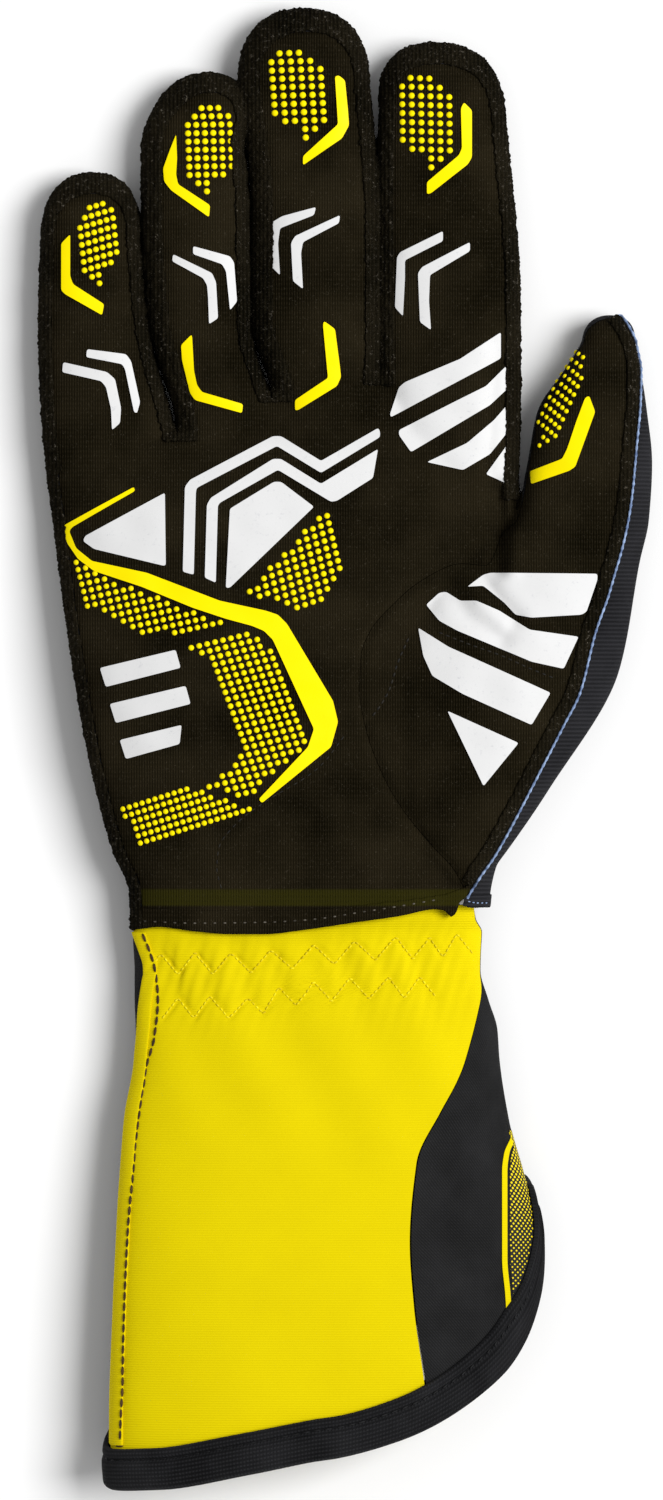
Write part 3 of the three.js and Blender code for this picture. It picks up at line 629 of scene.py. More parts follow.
# %% Hand panels
hand_wall_form = copy_piece(hand, "hand wall")
boolean(hand_wall_form, "DIFFERENCE", hollow)
thumb_area, wide_thumb_area = thumb_pattern(0), thumb_pattern(cloth_gap)
back_area, wide_back_area = back_pattern(0), back_pattern(cloth_gap)
hem_area = above_hem("above the hem")

palm_area = palm_pattern(0)
boolean(palm_area, "DIFFERENCE", wide_thumb_area)
boolean(palm_area, "DIFFERENCE", wide_back_area)
boolean(palm_area, "INTERSECT", hem_area)
palm_front = copy_piece(hand_wall_form, "palm_suede")
boolean(palm_front, "INTERSECT", palm_area)

boolean(thumb_area, "DIFFERENCE", wide_back_area)
boolean(thumb_area, "INTERSECT", hem_area)
thumb_front = copy_piece(hand_wall_form, "thumb_suede")
boolean(thumb_front, "INTERSECT", thumb_area)

front_area = palm_pattern(cloth_gap)
boolean(front_area, "UNION", wide_thumb_area)
boolean(front_area, "DIFFERENCE", back_area)
hand_back = copy_piece(hand_wall_form, "hand_back_cloth")
boolean(hand_back, "DIFFERENCE", front_area)
boolean(hand_back, "INTERSECT", hem_area)
for piece in (palm_front, thumb_front, hand_back):
    smooth_shading(piece, 50)
    print(piece.name, len(piece.data.polygons))

# %% [markdown]
# ## Seam allowances
# The glove is sewn inside out, as racing gloves are, so a fuzzy cut edge stands up outside every finger seam.
# It is made as a layer over the hand, cut to a band, rounded by a fine remesh and roughened by a random push.

# %% Layers over the hand
def layer_over_hand(name, under, over):
    """The space between two surfaces that follow the hand."""
    outer = copy_piece(hand, name)
    move_points(outer, points_of(outer) + normals_of(outer) * over)
    inner = copy_piece(hand, "inner")
    move_points(inner, points_of(inner) + normals_of(inner) * under)
    boolean(outer, "DIFFERENCE", inner)
    drop_piece(inner)
    return outer


welt_layer = layer_over_hand("welt layer", -0.35, 0.8)


welt_low = 4.2  # how high above the floor the allowances begin


def welt_band(name, left_foot, right_foot):
    left, right, tip = seam_insets[name]
    band = prism("band", inset_outline(name, (-0.6, -0.6, -0.6)), welt_low)
    hole = prism("hole", inset_outline(name, (left + 0.15, right + 0.15, tip + 0.1)), welt_low - 1)
    low, high = hem_y + left_foot * hand_length, hem_y + right_foot * hand_length
    middle = hand_width * (tubes[name]["rows"][1]["left"] + tubes[name]["rows"][1]["right"]) / 2
    corners = [(-120, -120), (120, -120), (120, high), (middle, high), (middle, low), (-120, low)]
    foot = prism("foot", np.array(corners), welt_low - 1)
    boolean(band, "DIFFERENCE", hole)
    boolean(band, "DIFFERENCE", foot)
    drop_piece(hole, foot)
    return band


def fuzzy(piece, fineness, push, seed):
    """Rounds a band of cut cloth and roughens it."""
    finish_with(piece, "REMESH", mode="VOXEL", voxel_size=fineness * mm)
    finish_with(piece, "SMOOTH", factor=0.5, iterations=4)
    points = points_of(piece)
    lumps = ripple(points, 2.4, seed) + 0.9 * ripple(points, 1.0, seed + 1)
    move_points(piece, points + normals_of(piece) * (push * lumps)[:, None])
    smooth_shading(piece, 180)
    return piece


# Where each finger's seam allowance ends, on its left and on its right.
welt_feet = {
    "little": (0.5, 0.532),
    "ring": (0.532, 0.574),
    "middle": (0.574, 0.592),
    "index": (0.592, 0.468),
}
welts = {}
for number, (name, feet) in enumerate(welt_feet.items()):
    band = welt_band(name, *feet)
    if name == "little":
        palm_left = inset_outline("palm", (-0.6, 0, 0), -0.03)[::-1]
        inner_left = inset_outline("palm", (seam_insets["palm"][0] - 0.1, 0, 0), -0.03)[::-1]
        keep = palm_left[:, 1] < hem_y + 0.515 * hand_length
        half = len(palm_left) // 2
        side = [p for p, k in zip(palm_left[:half], keep[:half]) if k]
        inner = [p for p, k in zip(inner_left[:half], keep[:half]) if k]
        strip = prism("palm side", np.array(side + inner[::-1]), welt_low)
        boolean(band, "UNION", strip)
        boolean(band, "INTERSECT", hem_area)
        drop_piece(strip)
    welt = copy_piece(welt_layer, f"{name}_seam_allowance")
    boolean(welt, "INTERSECT", band)
    drop_piece(band)
    welts[name] = fuzzy(welt, 0.42, 0.42, 20 + number)

edge_inner = offset_line(edge_line, 3.0)
edge_outer = offset_line(edge_line, 0.25)
edge_band = prism("edge band", np.vstack([edge_outer[2:], edge_inner[::-1][:-2]]))
boolean(edge_band, "INTERSECT", hem_area)
thumb_welt = copy_piece(welt_layer, "thumb_seam_allowance")
boolean(thumb_welt, "INTERSECT", edge_band)
drop_piece(edge_band)
welts["thumb"] = fuzzy(thumb_welt, 0.42, 0.25, 30)
print("welts", {name: len(piece.data.polygons) for name, piece in welts.items()})

# %% [markdown]
# ## The palm's hem
# The lower edge of the palm is turned in and stitched. It hangs a little lower in the middle, where the
# hand's heel bows out, and its corner beside the thumb ends in a frayed point.

# %% Hem
hem_top = photo([(124, 906), (200, 910), (300, 909), (400, 900), (447, 893), (470, 884)])
hem_outline = np.vstack([hem_curve, smooth_line(hem_top, 2)[::-1]])
hem_prism = prism("hem prism", hem_outline)
palm_hem = layer_over_hand("palm_turned_hem", -0.3, 0.42)
boolean(palm_hem, "INTERSECT", hem_prism)
drop_piece(hem_prism)
fuzzy(palm_hem, 0.4, 0.05, 40)

back_hem_outline = photo([(464, 897), (472, 895), (500, 893), (500, 908), (472, 909), (462, 906)])
back_hem_prism = prism("back hem prism", back_hem_outline)
back_hem = layer_over_hand("back_hem", -0.3, 0.4)
boolean(back_hem, "INTERSECT", back_hem_prism)
drop_piece(back_hem_prism)
fuzzy(back_hem, 0.4, 0.02, 41)

# %% [markdown]
# ## Silicone grip prints
# The grip is screen printed in thick silicone, so each shape has a sharp outline and a small even height. The
# outlines are drawn in the photograph's pixels, their corners are rounded as ink rounds them, and one layer
# over the hand is cut to all the outlines of a colour at once. The loose parts are then named one by one.

# %% Outlines of the prints
yellow_prints = {
    "little_bracket": [
        (70, 234), (61, 243), (61, 290), (65, 294), (102, 315), (104, 304), (73, 284), (70, 276),
    ],
    "ring_bracket": [
        (176, 134), (170, 149), (163, 168), (164, 181), (171, 190), (209, 217), (210, 205), (178, 184),
        (176, 174), (177, 158),
    ],
    "middle_bracket": [
        (335, 76), (336, 92), (338, 124), (303, 156), (303, 165), (342, 138), (349, 125), (348, 110),
        (345, 80), (339, 75),
    ],
    "index_bracket": [
        (464, 102), (461, 108), (462, 148), (459, 155), (427, 182), (427, 194), (431, 193), (468, 164),
        (472, 157), (472, 110),
    ],
    "thumb_bracket": [
        (589, 396), (595, 412), (575, 467), (569, 471), (531, 484), (530, 471), (533, 470), (562, 459),
        (567, 449), (576, 422), (585, 398),
    ],
    "ring_base_bracket": [
        (191, 335), (181, 345), (182, 360), (190, 393), (195, 400), (242, 413), (243, 404), (202, 392),
        (197, 385), (194, 371), (192, 336),
    ],
    "middle_base_bracket": [
        (324, 321), (323, 325), (328, 378), (295, 400), (295, 410), (298, 410), (337, 386), (341, 377),
        (340, 367), (335, 329),
    ],
    "palm_sweep": [
        (134, 487), (135, 491), (72, 527), (69, 531), (76, 548), (92, 561), (147, 573), (220, 601),
        (266, 611),
        (278, 615), (287, 624), (333, 701), (338, 722), (331, 747), (262, 803), (259, 799), (308, 747),
        (314, 729), (273, 640), (264, 631), (252, 626), (226, 619), (193, 608), (142, 587), (94, 571),
        (78, 559), (67, 543), (62, 530), (64, 525),
    ],
}
white_prints = {
    "little_chevron_low": [
        (63, 362), (62, 372), (101, 381), (106, 387), (111, 409), (112, 430), (120, 423), (121, 408),
        (115, 379), (107, 372),
    ],
    "little_chevron_high": [
        (87, 349), (86, 357), (122, 364), (125, 369), (134, 412), (137, 413), (140, 402), (131, 361),
        (126, 354),
    ],
    "ring_chevron_low": [
        (173, 254), (172, 261), (203, 278), (207, 285), (208, 296), (209, 324), (218, 318), (216, 282),
        (212, 273),
    ],
    "ring_chevron_high": [
        (193, 246), (193, 254), (222, 264), (226, 271), (230, 310), (237, 301), (234, 262), (230, 256),
    ],
    "middle_chevron_low": [
        (316, 207), (282, 216), (272, 222), (270, 234), (271, 266), (280, 275), (278, 243), (280, 228),
        (314, 215),
    ],
    "middle_chevron_high": [
        (340, 215), (339, 223), (303, 242), (301, 253), (303, 289), (293, 281), (291, 243), (295, 236),
    ],
    "index_chevron_low": [
        (443, 231), (443, 241), (405, 260), (405, 278), (403, 316), (395, 307), (397, 257), (400, 252),
    ],
    "index_chevron_high": [
        (470, 242), (470, 251), (430, 275), (429, 301), (431, 330), (420, 322), (418, 273), (422, 267),
    ],
    "triangle": [(165, 493), (161, 495), (85, 536), (83, 541), (94, 549), (164, 566), (166, 565)],
    "zigzag_outer": [
        (183, 572), (185, 487), (190, 480), (273, 436), (281, 436), (321, 461), (378, 428), (380, 431),
        (380, 437), (321, 473), (277, 446), (197, 488), (196, 492), (194, 575),
    ],
    "zigzag_inner": [
        (205, 578), (207, 505), (211, 498), (273, 459), (281, 459), (321, 484), (378, 449), (373, 478),
        (337, 501), (331, 502), (278, 470), (220, 503), (218, 506), (216, 583),
    ],
    "kite": [(230, 509), (274, 482), (281, 482), (314, 507), (230, 588), (226, 588)],
    "index_bar_1": [
        (501, 332), (501, 358), (485, 367), (391, 417), (390, 414), (399, 387), (405, 382), (460, 359),
    ],
    "index_bar_2": [
        (506, 366), (507, 389), (490, 405), (411, 452), (399, 435), (399, 430), (450, 404), (486, 386),
    ],
    "index_bar_3": [(507, 405), (506, 434), (490, 454), (463, 470), (427, 462), (467, 443), (494, 420)],
    "index_bar_4": [(507, 445), (509, 484), (486, 474)],
    "thumb_bar_1": [
        (467, 587), (483, 575), (490, 573), (597, 574), (597, 580), (586, 612), (581, 615), (531, 618),
        (515, 615), (504, 603), (483, 586),
    ],
    "thumb_bar_2": [
        (426, 605), (439, 593), (446, 592), (460, 601), (476, 601), (499, 611), (529, 630), (578, 637),
        (563, 669), (531, 662), (457, 631), (439, 621),
    ],
    "thumb_bar_3": [
        (418, 628), (448, 647), (550, 693), (531, 725), (522, 721), (462, 694), (432, 676), (423, 656),
    ],
    "thumb_bar_4": [(447, 711), (518, 743), (483, 786)],
    # Three plain slanted bars keep the grip going near the palm's outer edge.
    "palm_bar_1": [(100, 668), (176, 650), (181, 668), (106, 687)],
    "palm_bar_2": [(110, 704), (186, 686), (191, 704), (116, 723)],
    "palm_bar_3": [(120, 740), (182, 725), (180, 744), (126, 759)],
}


def rounded(outline, radius):
    """An outline with its corners rounded."""
    soft = []
    for before, corner, after in zip(np.roll(outline, 1, axis=0), outline, np.roll(outline, -1, axis=0)):
        back, forth = before - corner, after - corner
        a = corner + back * min(radius / np.linalg.norm(back), 0.45)
        b = corner + forth * min(radius / np.linalg.norm(forth), 0.45)
        soft += [(1 - t) ** 2 * a + 2 * t * (1 - t) * corner + t**2 * b for t in np.linspace(0, 1, 5)]
    return np.array(soft)


# %% Cutting the prints
print_rise = 0.4
print_layer = layer_over_hand("print layer", -0.2, print_rise)


def cut_prints(outlines):
    """One piece for each outline, cut from the layer over the hand."""
    cutters = None
    middles = {}
    for name, outline in outlines.items():
        shape = rounded(photo(outline), 0.55)
        middles[name] = photo(outline)
        cutter = prism("cutter", shape)
        if cutters is None:
            cutters = cutter
        else:
            select_only(cutters)
            cutter.select_set(True)
            bpy.ops.object.join()
    prints = copy_piece(print_layer, "prints")
    boolean(prints, "INTERSECT", cutters)
    drop_piece(cutters)
    select_only(prints)
    bpy.ops.object.mode_set(mode="EDIT")
    bpy.ops.mesh.select_all(action="SELECT")
    bpy.ops.mesh.separate(type="LOOSE")
    bpy.ops.object.mode_set(mode="OBJECT")
    named = {}
    for part in list(bpy.context.selected_objects):
        points = points_of(part)
        if len(points) < 12:
            drop_piece(part)
            continue
        low, high = points[:, :2].min(0), points[:, :2].max(0)
        spread = {
            name: np.abs(corners.min(0) - low).sum() + np.abs(corners.max(0) - high).sum()
            for name, corners in middles.items()
        }
        name = min(spread, key=spread.get)
        part.name = f"{name}_print"
        smooth_shading(part, 35)
        named[name] = part
    print("prints", len(named), "of", len(outlines))
    return named


yellow_pieces = cut_prints(yellow_prints)
white_pieces = cut_prints(white_prints)

# %% [markdown]
# ## Dots
# Between the prints lie fields of small silicone dots. One low dome is modelled, and copies of it are laid on
# a slanted grid wherever the grid falls inside the field's outline. Each copy stands square to the cloth
# under it.

# %% Small things repeated on a surface
def template(segments):
    """The points and faces of one small thing, a unit wide."""
    bpy.ops.mesh.primitive_uv_sphere_add(segments=segments, ring_count=6, radius=0.5)
    piece = bpy.context.object
    points = points_of(piece) * mm
    faces = [tuple(polygon.vertices) for polygon in piece.data.polygons]
    drop_piece(piece)
    return points, faces


dome = template(12)
grain = template(8)


def scatter(name, shape, places, sizes):
    """Copies of a small thing. A place is a point, a normal and a direction along the surface."""
    points, faces = [], []
    base, sides = shape
    for (place, normal, ahead), size in zip(places, sizes):
        up = Vector(normal).normalized()
        forth = Vector(ahead) - up * up.dot(Vector(ahead))
        forth.normalize()
        side = up.cross(forth)
        turn = np.array([forth, side, up])
        start = len(points)
        points += ((base * np.array(size)) @ turn + np.array(place)).tolist()
        faces += [tuple(start + i for i in face) for face in sides]
    piece = new_piece(name, points, faces)
    smooth_shading(piece, 180)
    return piece


def inside(point, outline):
    """True if a point lies inside an outline."""
    x, y = point
    found = False
    for (x1, y1), (x2, y2) in zip(outline, np.roll(outline, 1, axis=0)):
        if (y1 > y) != (y2 > y) and x < (x2 - x1) * (y - y1) / (y2 - y1) + x1:
            found = not found
    return found


# %% Dot fields
# Across and down are the steps of the grid, in the photograph's pixels.
dot_fields = {
    "palm_dots_right": {
        "outline": [
            (323, 509), (334, 512), (343, 572), (312, 612), (282, 606), (247, 592), (275, 562), (305, 530),
        ],
        "start": (327, 516), "across": (8.0, -2.8), "down": (1.8, 7.5), "wide": 6.0,
    },
    "palm_dots_left": {
        "outline": [
            (68, 553), (84, 563), (97, 574), (143, 591), (195, 612), (230, 624), (190, 631), (152, 636),
            (134, 631), (100, 613), (80, 604),
        ],
        "start": (228, 621), "across": (7.6, -1.7), "down": (1.9, 7.3), "wide": 5.7,
    },
    "palm_dots_middle": {
        "outline": [
            (177, 645), (243, 629), (253, 632), (266, 642), (309, 731), (302, 749), (246, 799), (206, 786),
            (228, 768), (241, 750), (244, 739), (239, 733), (209, 660), (199, 657),
        ],
        "start": (181, 643), "across": (7.9, -1.9), "down": (2.6, 6.9), "wide": 5.9,
    },
    "palm_dots_low": {
        "outline": [(120, 806), (187, 785), (222, 798), (252, 809), (140, 849)],
        "start": (187, 789), "across": (6.4, -2.0), "down": (2.2, 7.2), "wide": 5.6,
    },
}
# The fields on the fingertips: rows of dots, each with the column where it starts and its count.
left_rows = [(1.7, 3), (0.85, 5)] + [(0, 6)] * 6 + [(0, 5), (1, 2), (2, 1)]
little_rows = [(1.7, 3), (0.85, 5)] + [(0, 6)] * 5 + [(0, 5), (1, 2), (2, 1)]
thumb_rows = [(1.3, 3), (1, 4)] + [(0, 5)] * 8 + [(1, 2), (2, 1)]
right_rows = [(0.9, 3), (0, 5)] + [(0, 6)] * 6 + [(1, 5), (3, 2), (3, 1)]
tip_fields = {
    "little_dots": {"start": (78, 210.6), "across": (6.6, -2.0), "down": (0.9, 8.5), "rows": little_rows, "wide": 6.0},
    "ring_dots": {"start": (187, 108), "across": (8.4, -0.2), "down": (0.3, 8.35), "rows": left_rows, "wide": 6.4},
    "middle_dots": {"start": (270.6, 53.2), "across": (9.7, -0.3), "down": (0.6, 8.5), "rows": right_rows, "wide": 6.6},
    "index_dots": {"start": (402, 77), "across": (9.4, 0.4), "down": (0.1, 8.9), "rows": right_rows, "wide": 6.4},
    "thumb_dots": {
        "start": (588.5, 361.7), "across": (-4.1, -3.55), "down": (-3.7, 8.25), "rows": thumb_rows, "wide": 4.9,
    },
}


def dot_piece(name, pixels, wide):
    places = []
    for x, y in photo(pixels):
        place, normal = hand_surface.under(x, y)
        places.append((place, normal, (1, 0, 0)))
    size = wide * pixel
    return scatter(name, dome, places, [(size, size, 0.85)] * len(places))


dot_pieces = {}
for name, field in dot_fields.items():
    start, across, down = (np.array(field[key]) for key in ("start", "across", "down"))
    outline = np.array(field["outline"], float)
    grid = [start + i * across + j * down for j in range(-40, 40) for i in range(-40, 40)]
    dot_pieces[name] = dot_piece(name, [p for p in grid if inside(p, outline)], field["wide"])
for name, field in tip_fields.items():
    start, across, down = (np.array(field[key]) for key in ("start", "across", "down"))
    grid = []
    for j, (first, count) in enumerate(field["rows"]):
        grid += [start + (first + i) * across + j * down for i in range(count)]
    dot_pieces[name] = dot_piece(name, grid, field["wide"])
print("dots", {name: len(piece.data.polygons) for name, piece in dot_pieces.items()})

# %% [markdown]
# ## The cuff
# The cuff is a flattened tube of four panels that flares to a slanted rim. A panel is a grid of points
# between two seam lines. It is laid out by the turn round the tube and the distance down it, so the weave can
# follow the cloth through its own map, and the elastic's puckers are pressed in before the cloth gets its
# thickness.

# %% Cuff tables
rim_lift = 1.7
cuff_rows = table(
    "down left right deep lift",
    (-0.06, -0.455, 0.29, 0.6, 1.65),
    (-0.02, -0.464, 0.297, 0.61, 1.65),
    (0.004, -0.488, 0.311, 0.655, 1.4),
    (0.036, -0.486, 0.309, 0.68, 1.0),
    (0.072, -0.4835, 0.308, 0.67, 0.8),
    (0.125, -0.4835, 0.326, 0.68, 0.6),
    (0.179, -0.4815, 0.347, 0.71, 0.4),
    (0.233, -0.484, 0.352, 0.74, 0.4),
    (0.341, -0.506, 0.372, 0.8, 0.8),
    (0.448, -0.516, 0.409, 0.86, 1.0),
    (0.556, -0.524, 0.438, 0.91, 1.0),
    (0.663, -0.531, 0.445, 0.95, 1.0),
    (0.842, -0.538, 0.445, 0.99, 1.0),
    (1.02, -0.54, 0.445, 1.0, 1.0),
)
rim_rows = table(
    "turn down",
    (-20, 0.51), (0, 0.547), (14, 0.636), (30, 0.731), (50, 0.815), (75, 0.896), (105, 0.955), (135, 0.984),
    (165, 0.988), (195, 0.968), (225, 0.9), (255, 0.797), (285, 0.69), (315, 0.582), (340, 0.51),
    (360, 0.547),
    (374, 0.636),
)
side_line_rows = table(
    "down x",
    (-0.1, 0.289), (-0.02, 0.2955), (0.004, 0.3096), (0.036, 0.3078), (0.074, 0.3068), (0.105, 0.31),
    (0.149, 0.302), (0.233, 0.275), (0.328, 0.216), (0.416, 0.164), (0.556, 0.149),
    (0.67, 0.158), (0.801, 0.181), (1.02, 0.215),
)
left_line_rows = table(
    "down turn",
    (-0.1, 176), (0.0, 175), (0.02, 168), (0.038, 163), (0.07, 158.5), (0.111, 162), (0.165, 168),
    (0.237, 173.5),
    (1.0, 174.5),
)
back_turn = -12
steepest_rim = math.radians(50)  # the tape eases past the steep corner of the rim
zigzag_rows = {
    "upper": [
        (161, 954), (195, 953), (231, 953), (271, 950), (314, 945), (355, 941), (396, 937), (430, 938),
        (457, 934),
    ],
    "lower": [(178, 998), (210, 996), (248, 998), (279, 987), (314, 982), (350, 978), (389, 977), (420, 977)],
}
zigzag_height = 21  # pixels of the photograph


def zigzag(tops):
    """The line of an elastic zigzag from its upper points."""
    line = [(tops[0][0] - 16, tops[0][1] + zigzag_height)]
    for (x1, y1), (x2, y2) in zip(tops, tops[1:] + [(tops[-1][0] + 34, tops[-1][1])]):
        line += [(x1, y1), ((x1 + x2) / 2, (y1 + y2) / 2 + zigzag_height)]
    return photo(line)


elastic_lines = [zigzag(tops) for tops in zigzag_rows.values()]

# %% Cuff functions
def rim_at(turn):
    return along(rim_rows, "turn", "down", np.mod(turn + 20, 360) - 20)


def cuff_section(down):
    left = along(cuff_rows, "down", "left", down) * cuff_width
    right = along(cuff_rows, "down", "right", down) * cuff_width
    deep = along(cuff_rows, "down", "deep", down) * cuff_depth
    return (left + right) / 2, (right - left) / 2, deep, along(cuff_rows, "down", "lift", down) * rim_lift


def plain_cuff_point(down, turn, grow):
    centre, half, top, lift = cuff_section(down)
    return section_points(centre, half, top, lift, hem_y - down * cuff_length, 1.0, np.radians(turn), grow)


def cuff_relief(points, turn):
    """Puckers along the elastic and soft waves in the cloth below, as a distance off the plain form."""
    front = np.clip(np.sin(np.radians(turn)) * 1.6 - 0.2, 0, 1)
    flat = points.reshape(-1, 3)
    relief = np.zeros(len(flat))
    plan = flat[:, :2]
    for line in elastic_lines:
        away = distance_to(plan, line)
        relief -= 0.4 * np.exp(-((away / 0.6) ** 2))
        relief -= 0.25 * np.exp(-((away / 5.5) ** 2))
    reach = np.exp(-(((plan[:, 1] - photo([(0, 972)])[0, 1]) / 9.5) ** 2))
    relief += 0.2 * reach * np.sin(2 * np.pi * (plan[:, 0] + 0.22 * plan[:, 1]) / 8.4)
    relief += 0.12 * reach * np.sin(2 * np.pi * (plan[:, 0] - 0.3 * plan[:, 1]) / 3.1 + 1)
    long_waves = np.exp(-(((plan[:, 1] - photo([(0, 1040)])[0, 1]) / 26) ** 2))
    relief += 0.28 * long_waves * np.sin(2 * np.pi * (plan[:, 0] + 0.5 * plan[:, 1]) / 21)
    relief += 0.25 * ripple(flat, 34, 5)
    return relief.reshape(points.shape[:-1]) * front + 0.15 * ripple(flat, 26, 6).reshape(points.shape[:-1])


def cuff_point(down, turn, grow):
    plain = plain_cuff_point(down, turn, 0)
    return plain_cuff_point(down, turn, grow + cuff_relief(plain, turn))


def rim_steepness(turn):
    step = 6
    rim = rim_at(turn)
    a = plain_cuff_point(rim, turn - step, 0)
    b = plain_cuff_point(rim, turn + step, 0)
    per_degree = np.hypot(a[..., 0] - b[..., 0], a[..., 2] - b[..., 2]) / (2 * step)
    climb = (rim_at(turn + step) - rim_at(turn - step)) * cuff_length / (2 * step)
    return np.clip(np.arctan(climb / per_degree), -steepest_rim, steepest_rim)


def turn_at(down, x):
    centre, half, _, _ = cuff_section(down)
    share = np.clip((x - centre) / half, -1, 1)
    return np.degrees(np.arccos(np.sign(share) * np.abs(share) ** (side_round / 2)))


def side_line(down):
    return turn_at(down, along(side_line_rows, "down", "x", down) * cuff_width)


def left_line(down):
    return along(left_line_rows, "down", "turn", down)


def panel_grid(first_turn, last_turn, columns, rows, first_down, setback):
    """Turn and distance down of a grid between two seam lines, from near the hem to the slanted rim."""
    across = np.linspace(0, 1, columns)[None, :]
    ahead = np.linspace(0, 1, rows)[:, None]
    down = np.full((rows, columns), 0.3)
    for _ in range(40):
        turn = first_turn(down) * (1 - across) + last_turn(down) * across
        end = rim_at(turn) - setback / (cuff_length * np.cos(rim_steepness(turn)))
        down = (down + first_down + (end - first_down) * ahead) / 2
    return down, turn


def map_cloth(piece, points, across):
    """Gives a grid its own map, in metres across the cloth and down it from its upper edge."""
    ahead = points[..., 1].max() - points[..., 1]
    coordinates = np.stack([across, ahead], axis=-1).reshape(-1, 2) * mm
    layer = piece.data.uv_layers.new(name="cloth")
    loops = np.empty(len(piece.data.loops), int)
    piece.data.loops.foreach_get("vertex_index", loops)
    layer.data.foreach_set("uv", coordinates[loops].ravel())


def grid_faces(rows, columns):
    return [
        (r * columns + c, r * columns + c + 1, (r + 1) * columns + c + 1, (r + 1) * columns + c)
        for r in range(rows - 1)
        for c in range(columns - 1)
    ]


def cloth_panel(name, down, turn, grow, thickness, bevel=0.0):
    """A sheet of cloth on a grid of turns and distances down the cuff."""
    points = cuff_point(down, turn, grow)
    rows, columns = down.shape
    piece = new_piece(name, points.reshape(-1, 3), grid_faces(rows, columns))
    steps = np.linalg.norm(np.diff(points, axis=1), axis=2)
    across = np.concatenate([np.zeros((rows, 1)), np.cumsum(steps, axis=1)], axis=1)
    map_cloth(piece, points, across - across[:, columns // 2][:, None])
    middle = points[rows // 2, columns // 2]
    centre, _, top, _ = cuff_section(down[rows // 2, columns // 2])
    outward = Vector((middle[0] - centre, 0, middle[2] - top / 2))
    normal = piece.data.polygons[(rows // 2) * (columns - 1) + columns // 2].normal
    if normal.dot(outward) < 0:
        piece.data.flip_normals()
    finish_with(piece, "SOLIDIFY", thickness=thickness * mm, offset=-1)
    if bevel:
        finish_with(
            piece, "BEVEL", width=bevel * mm, segments=2, limit_method="ANGLE", angle_limit=math.radians(50),
        )
    smooth_shading(piece, 40)
    return piece


# %% Cuff panels
seam_turn = 0.5
cloth_setback = 1.2
top_down = -0.045
front_grid = panel_grid(lambda d: side_line(d) + seam_turn, left_line, 130, 190, top_down, cloth_setback)
cuff_front = cloth_panel("cuff_front_cloth", *front_grid, 0, cuff_wall)
side_grid = panel_grid(lambda d: back_turn + seam_turn + 0 * d, side_line, 60, 150, top_down, cloth_setback)
cuff_side = cloth_panel("cuff_side_cloth", *side_grid, 0, cuff_wall)
back_grid = panel_grid(
    lambda d: left_line(d) + seam_turn, lambda d: back_turn + 360 + 0 * d, 110, 120, top_down, cloth_setback
)
cuff_back = cloth_panel("cuff_back_cloth", *back_grid, 0, cuff_wall)
print("cuff", [len(piece.data.polygons) for piece in (cuff_front, cuff_side, cuff_back)])
cuff_surface = Surface(cuff_front, cuff_side)

# %% [markdown]
# The seam down the little-finger side is folded over and stitched through, so it stands as a narrow flat
# strip. Its section is a low arch, highest along the stitches.

# %% Seam strip
strip_wide = 3.1


def strip_start(down):
    edge = plain_cuff_point(down, left_line(down), 0)[..., 0]
    return turn_at(down, edge + strip_wide)


strip_down, strip_turn = panel_grid(strip_start, left_line, 12, 240, 0.004, 8.4)
arch = np.sin(np.linspace(0.12, 0.97, 12) * np.pi) ** 0.35
seam_strip = cloth_panel("cuff_folded_seam", strip_down, strip_turn, 0.12 + 0.6 * arch[None, :], 0.62, 0.12)

# %% [markdown]
# The rim is bound with ribbed elastic tape, folded over the cut edge and stitched through. A channel section
# is carried round the slanted rim, and the stitch line is pressed in as a shallow groove on both faces.

# %% Binding
tape_width = 7.6
tape_thickness = 1.15
tape_clearance = 0.45
tape_stitch = 0.34  # how far down the tape the stitches run, as a share of its width


def tape_profile():
    """Inward distance and height off the cloth, once round the channel."""
    inward = np.linspace(tape_width, -0.3, 22)
    bow = 0.3 * np.sin(np.clip((tape_width - inward) / tape_width, 0, 1) * np.pi)
    groove = -0.8 * np.exp(-(((inward - tape_width * (1 - tape_stitch)) / 0.55) ** 2))
    front = tape_clearance + tape_thickness + bow + groove
    front[0] -= 0.35
    angles = np.linspace(90, -90, 9)[1:-1]
    half = (2 * tape_clearance + cuff_wall + 2 * tape_thickness) / 2
    round_in = -0.3 - half * 0.75 * np.cos(np.radians(angles))
    round_out = -cuff_wall / 2 + half * np.sin(np.radians(angles))
    back = -cuff_wall - tape_clearance - tape_thickness - groove[::-1] - bow[::-1]
    hollow_in = np.array([tape_width, tape_width / 2, -0.2])
    outer = list(zip(inward, front)) + list(zip(round_in, round_out)) + list(zip(inward[::-1], back))
    inner = [(d, -cuff_wall - tape_clearance) for d in hollow_in]
    inner += [(d, tape_clearance) for d in hollow_in[::-1]]
    return outer + inner


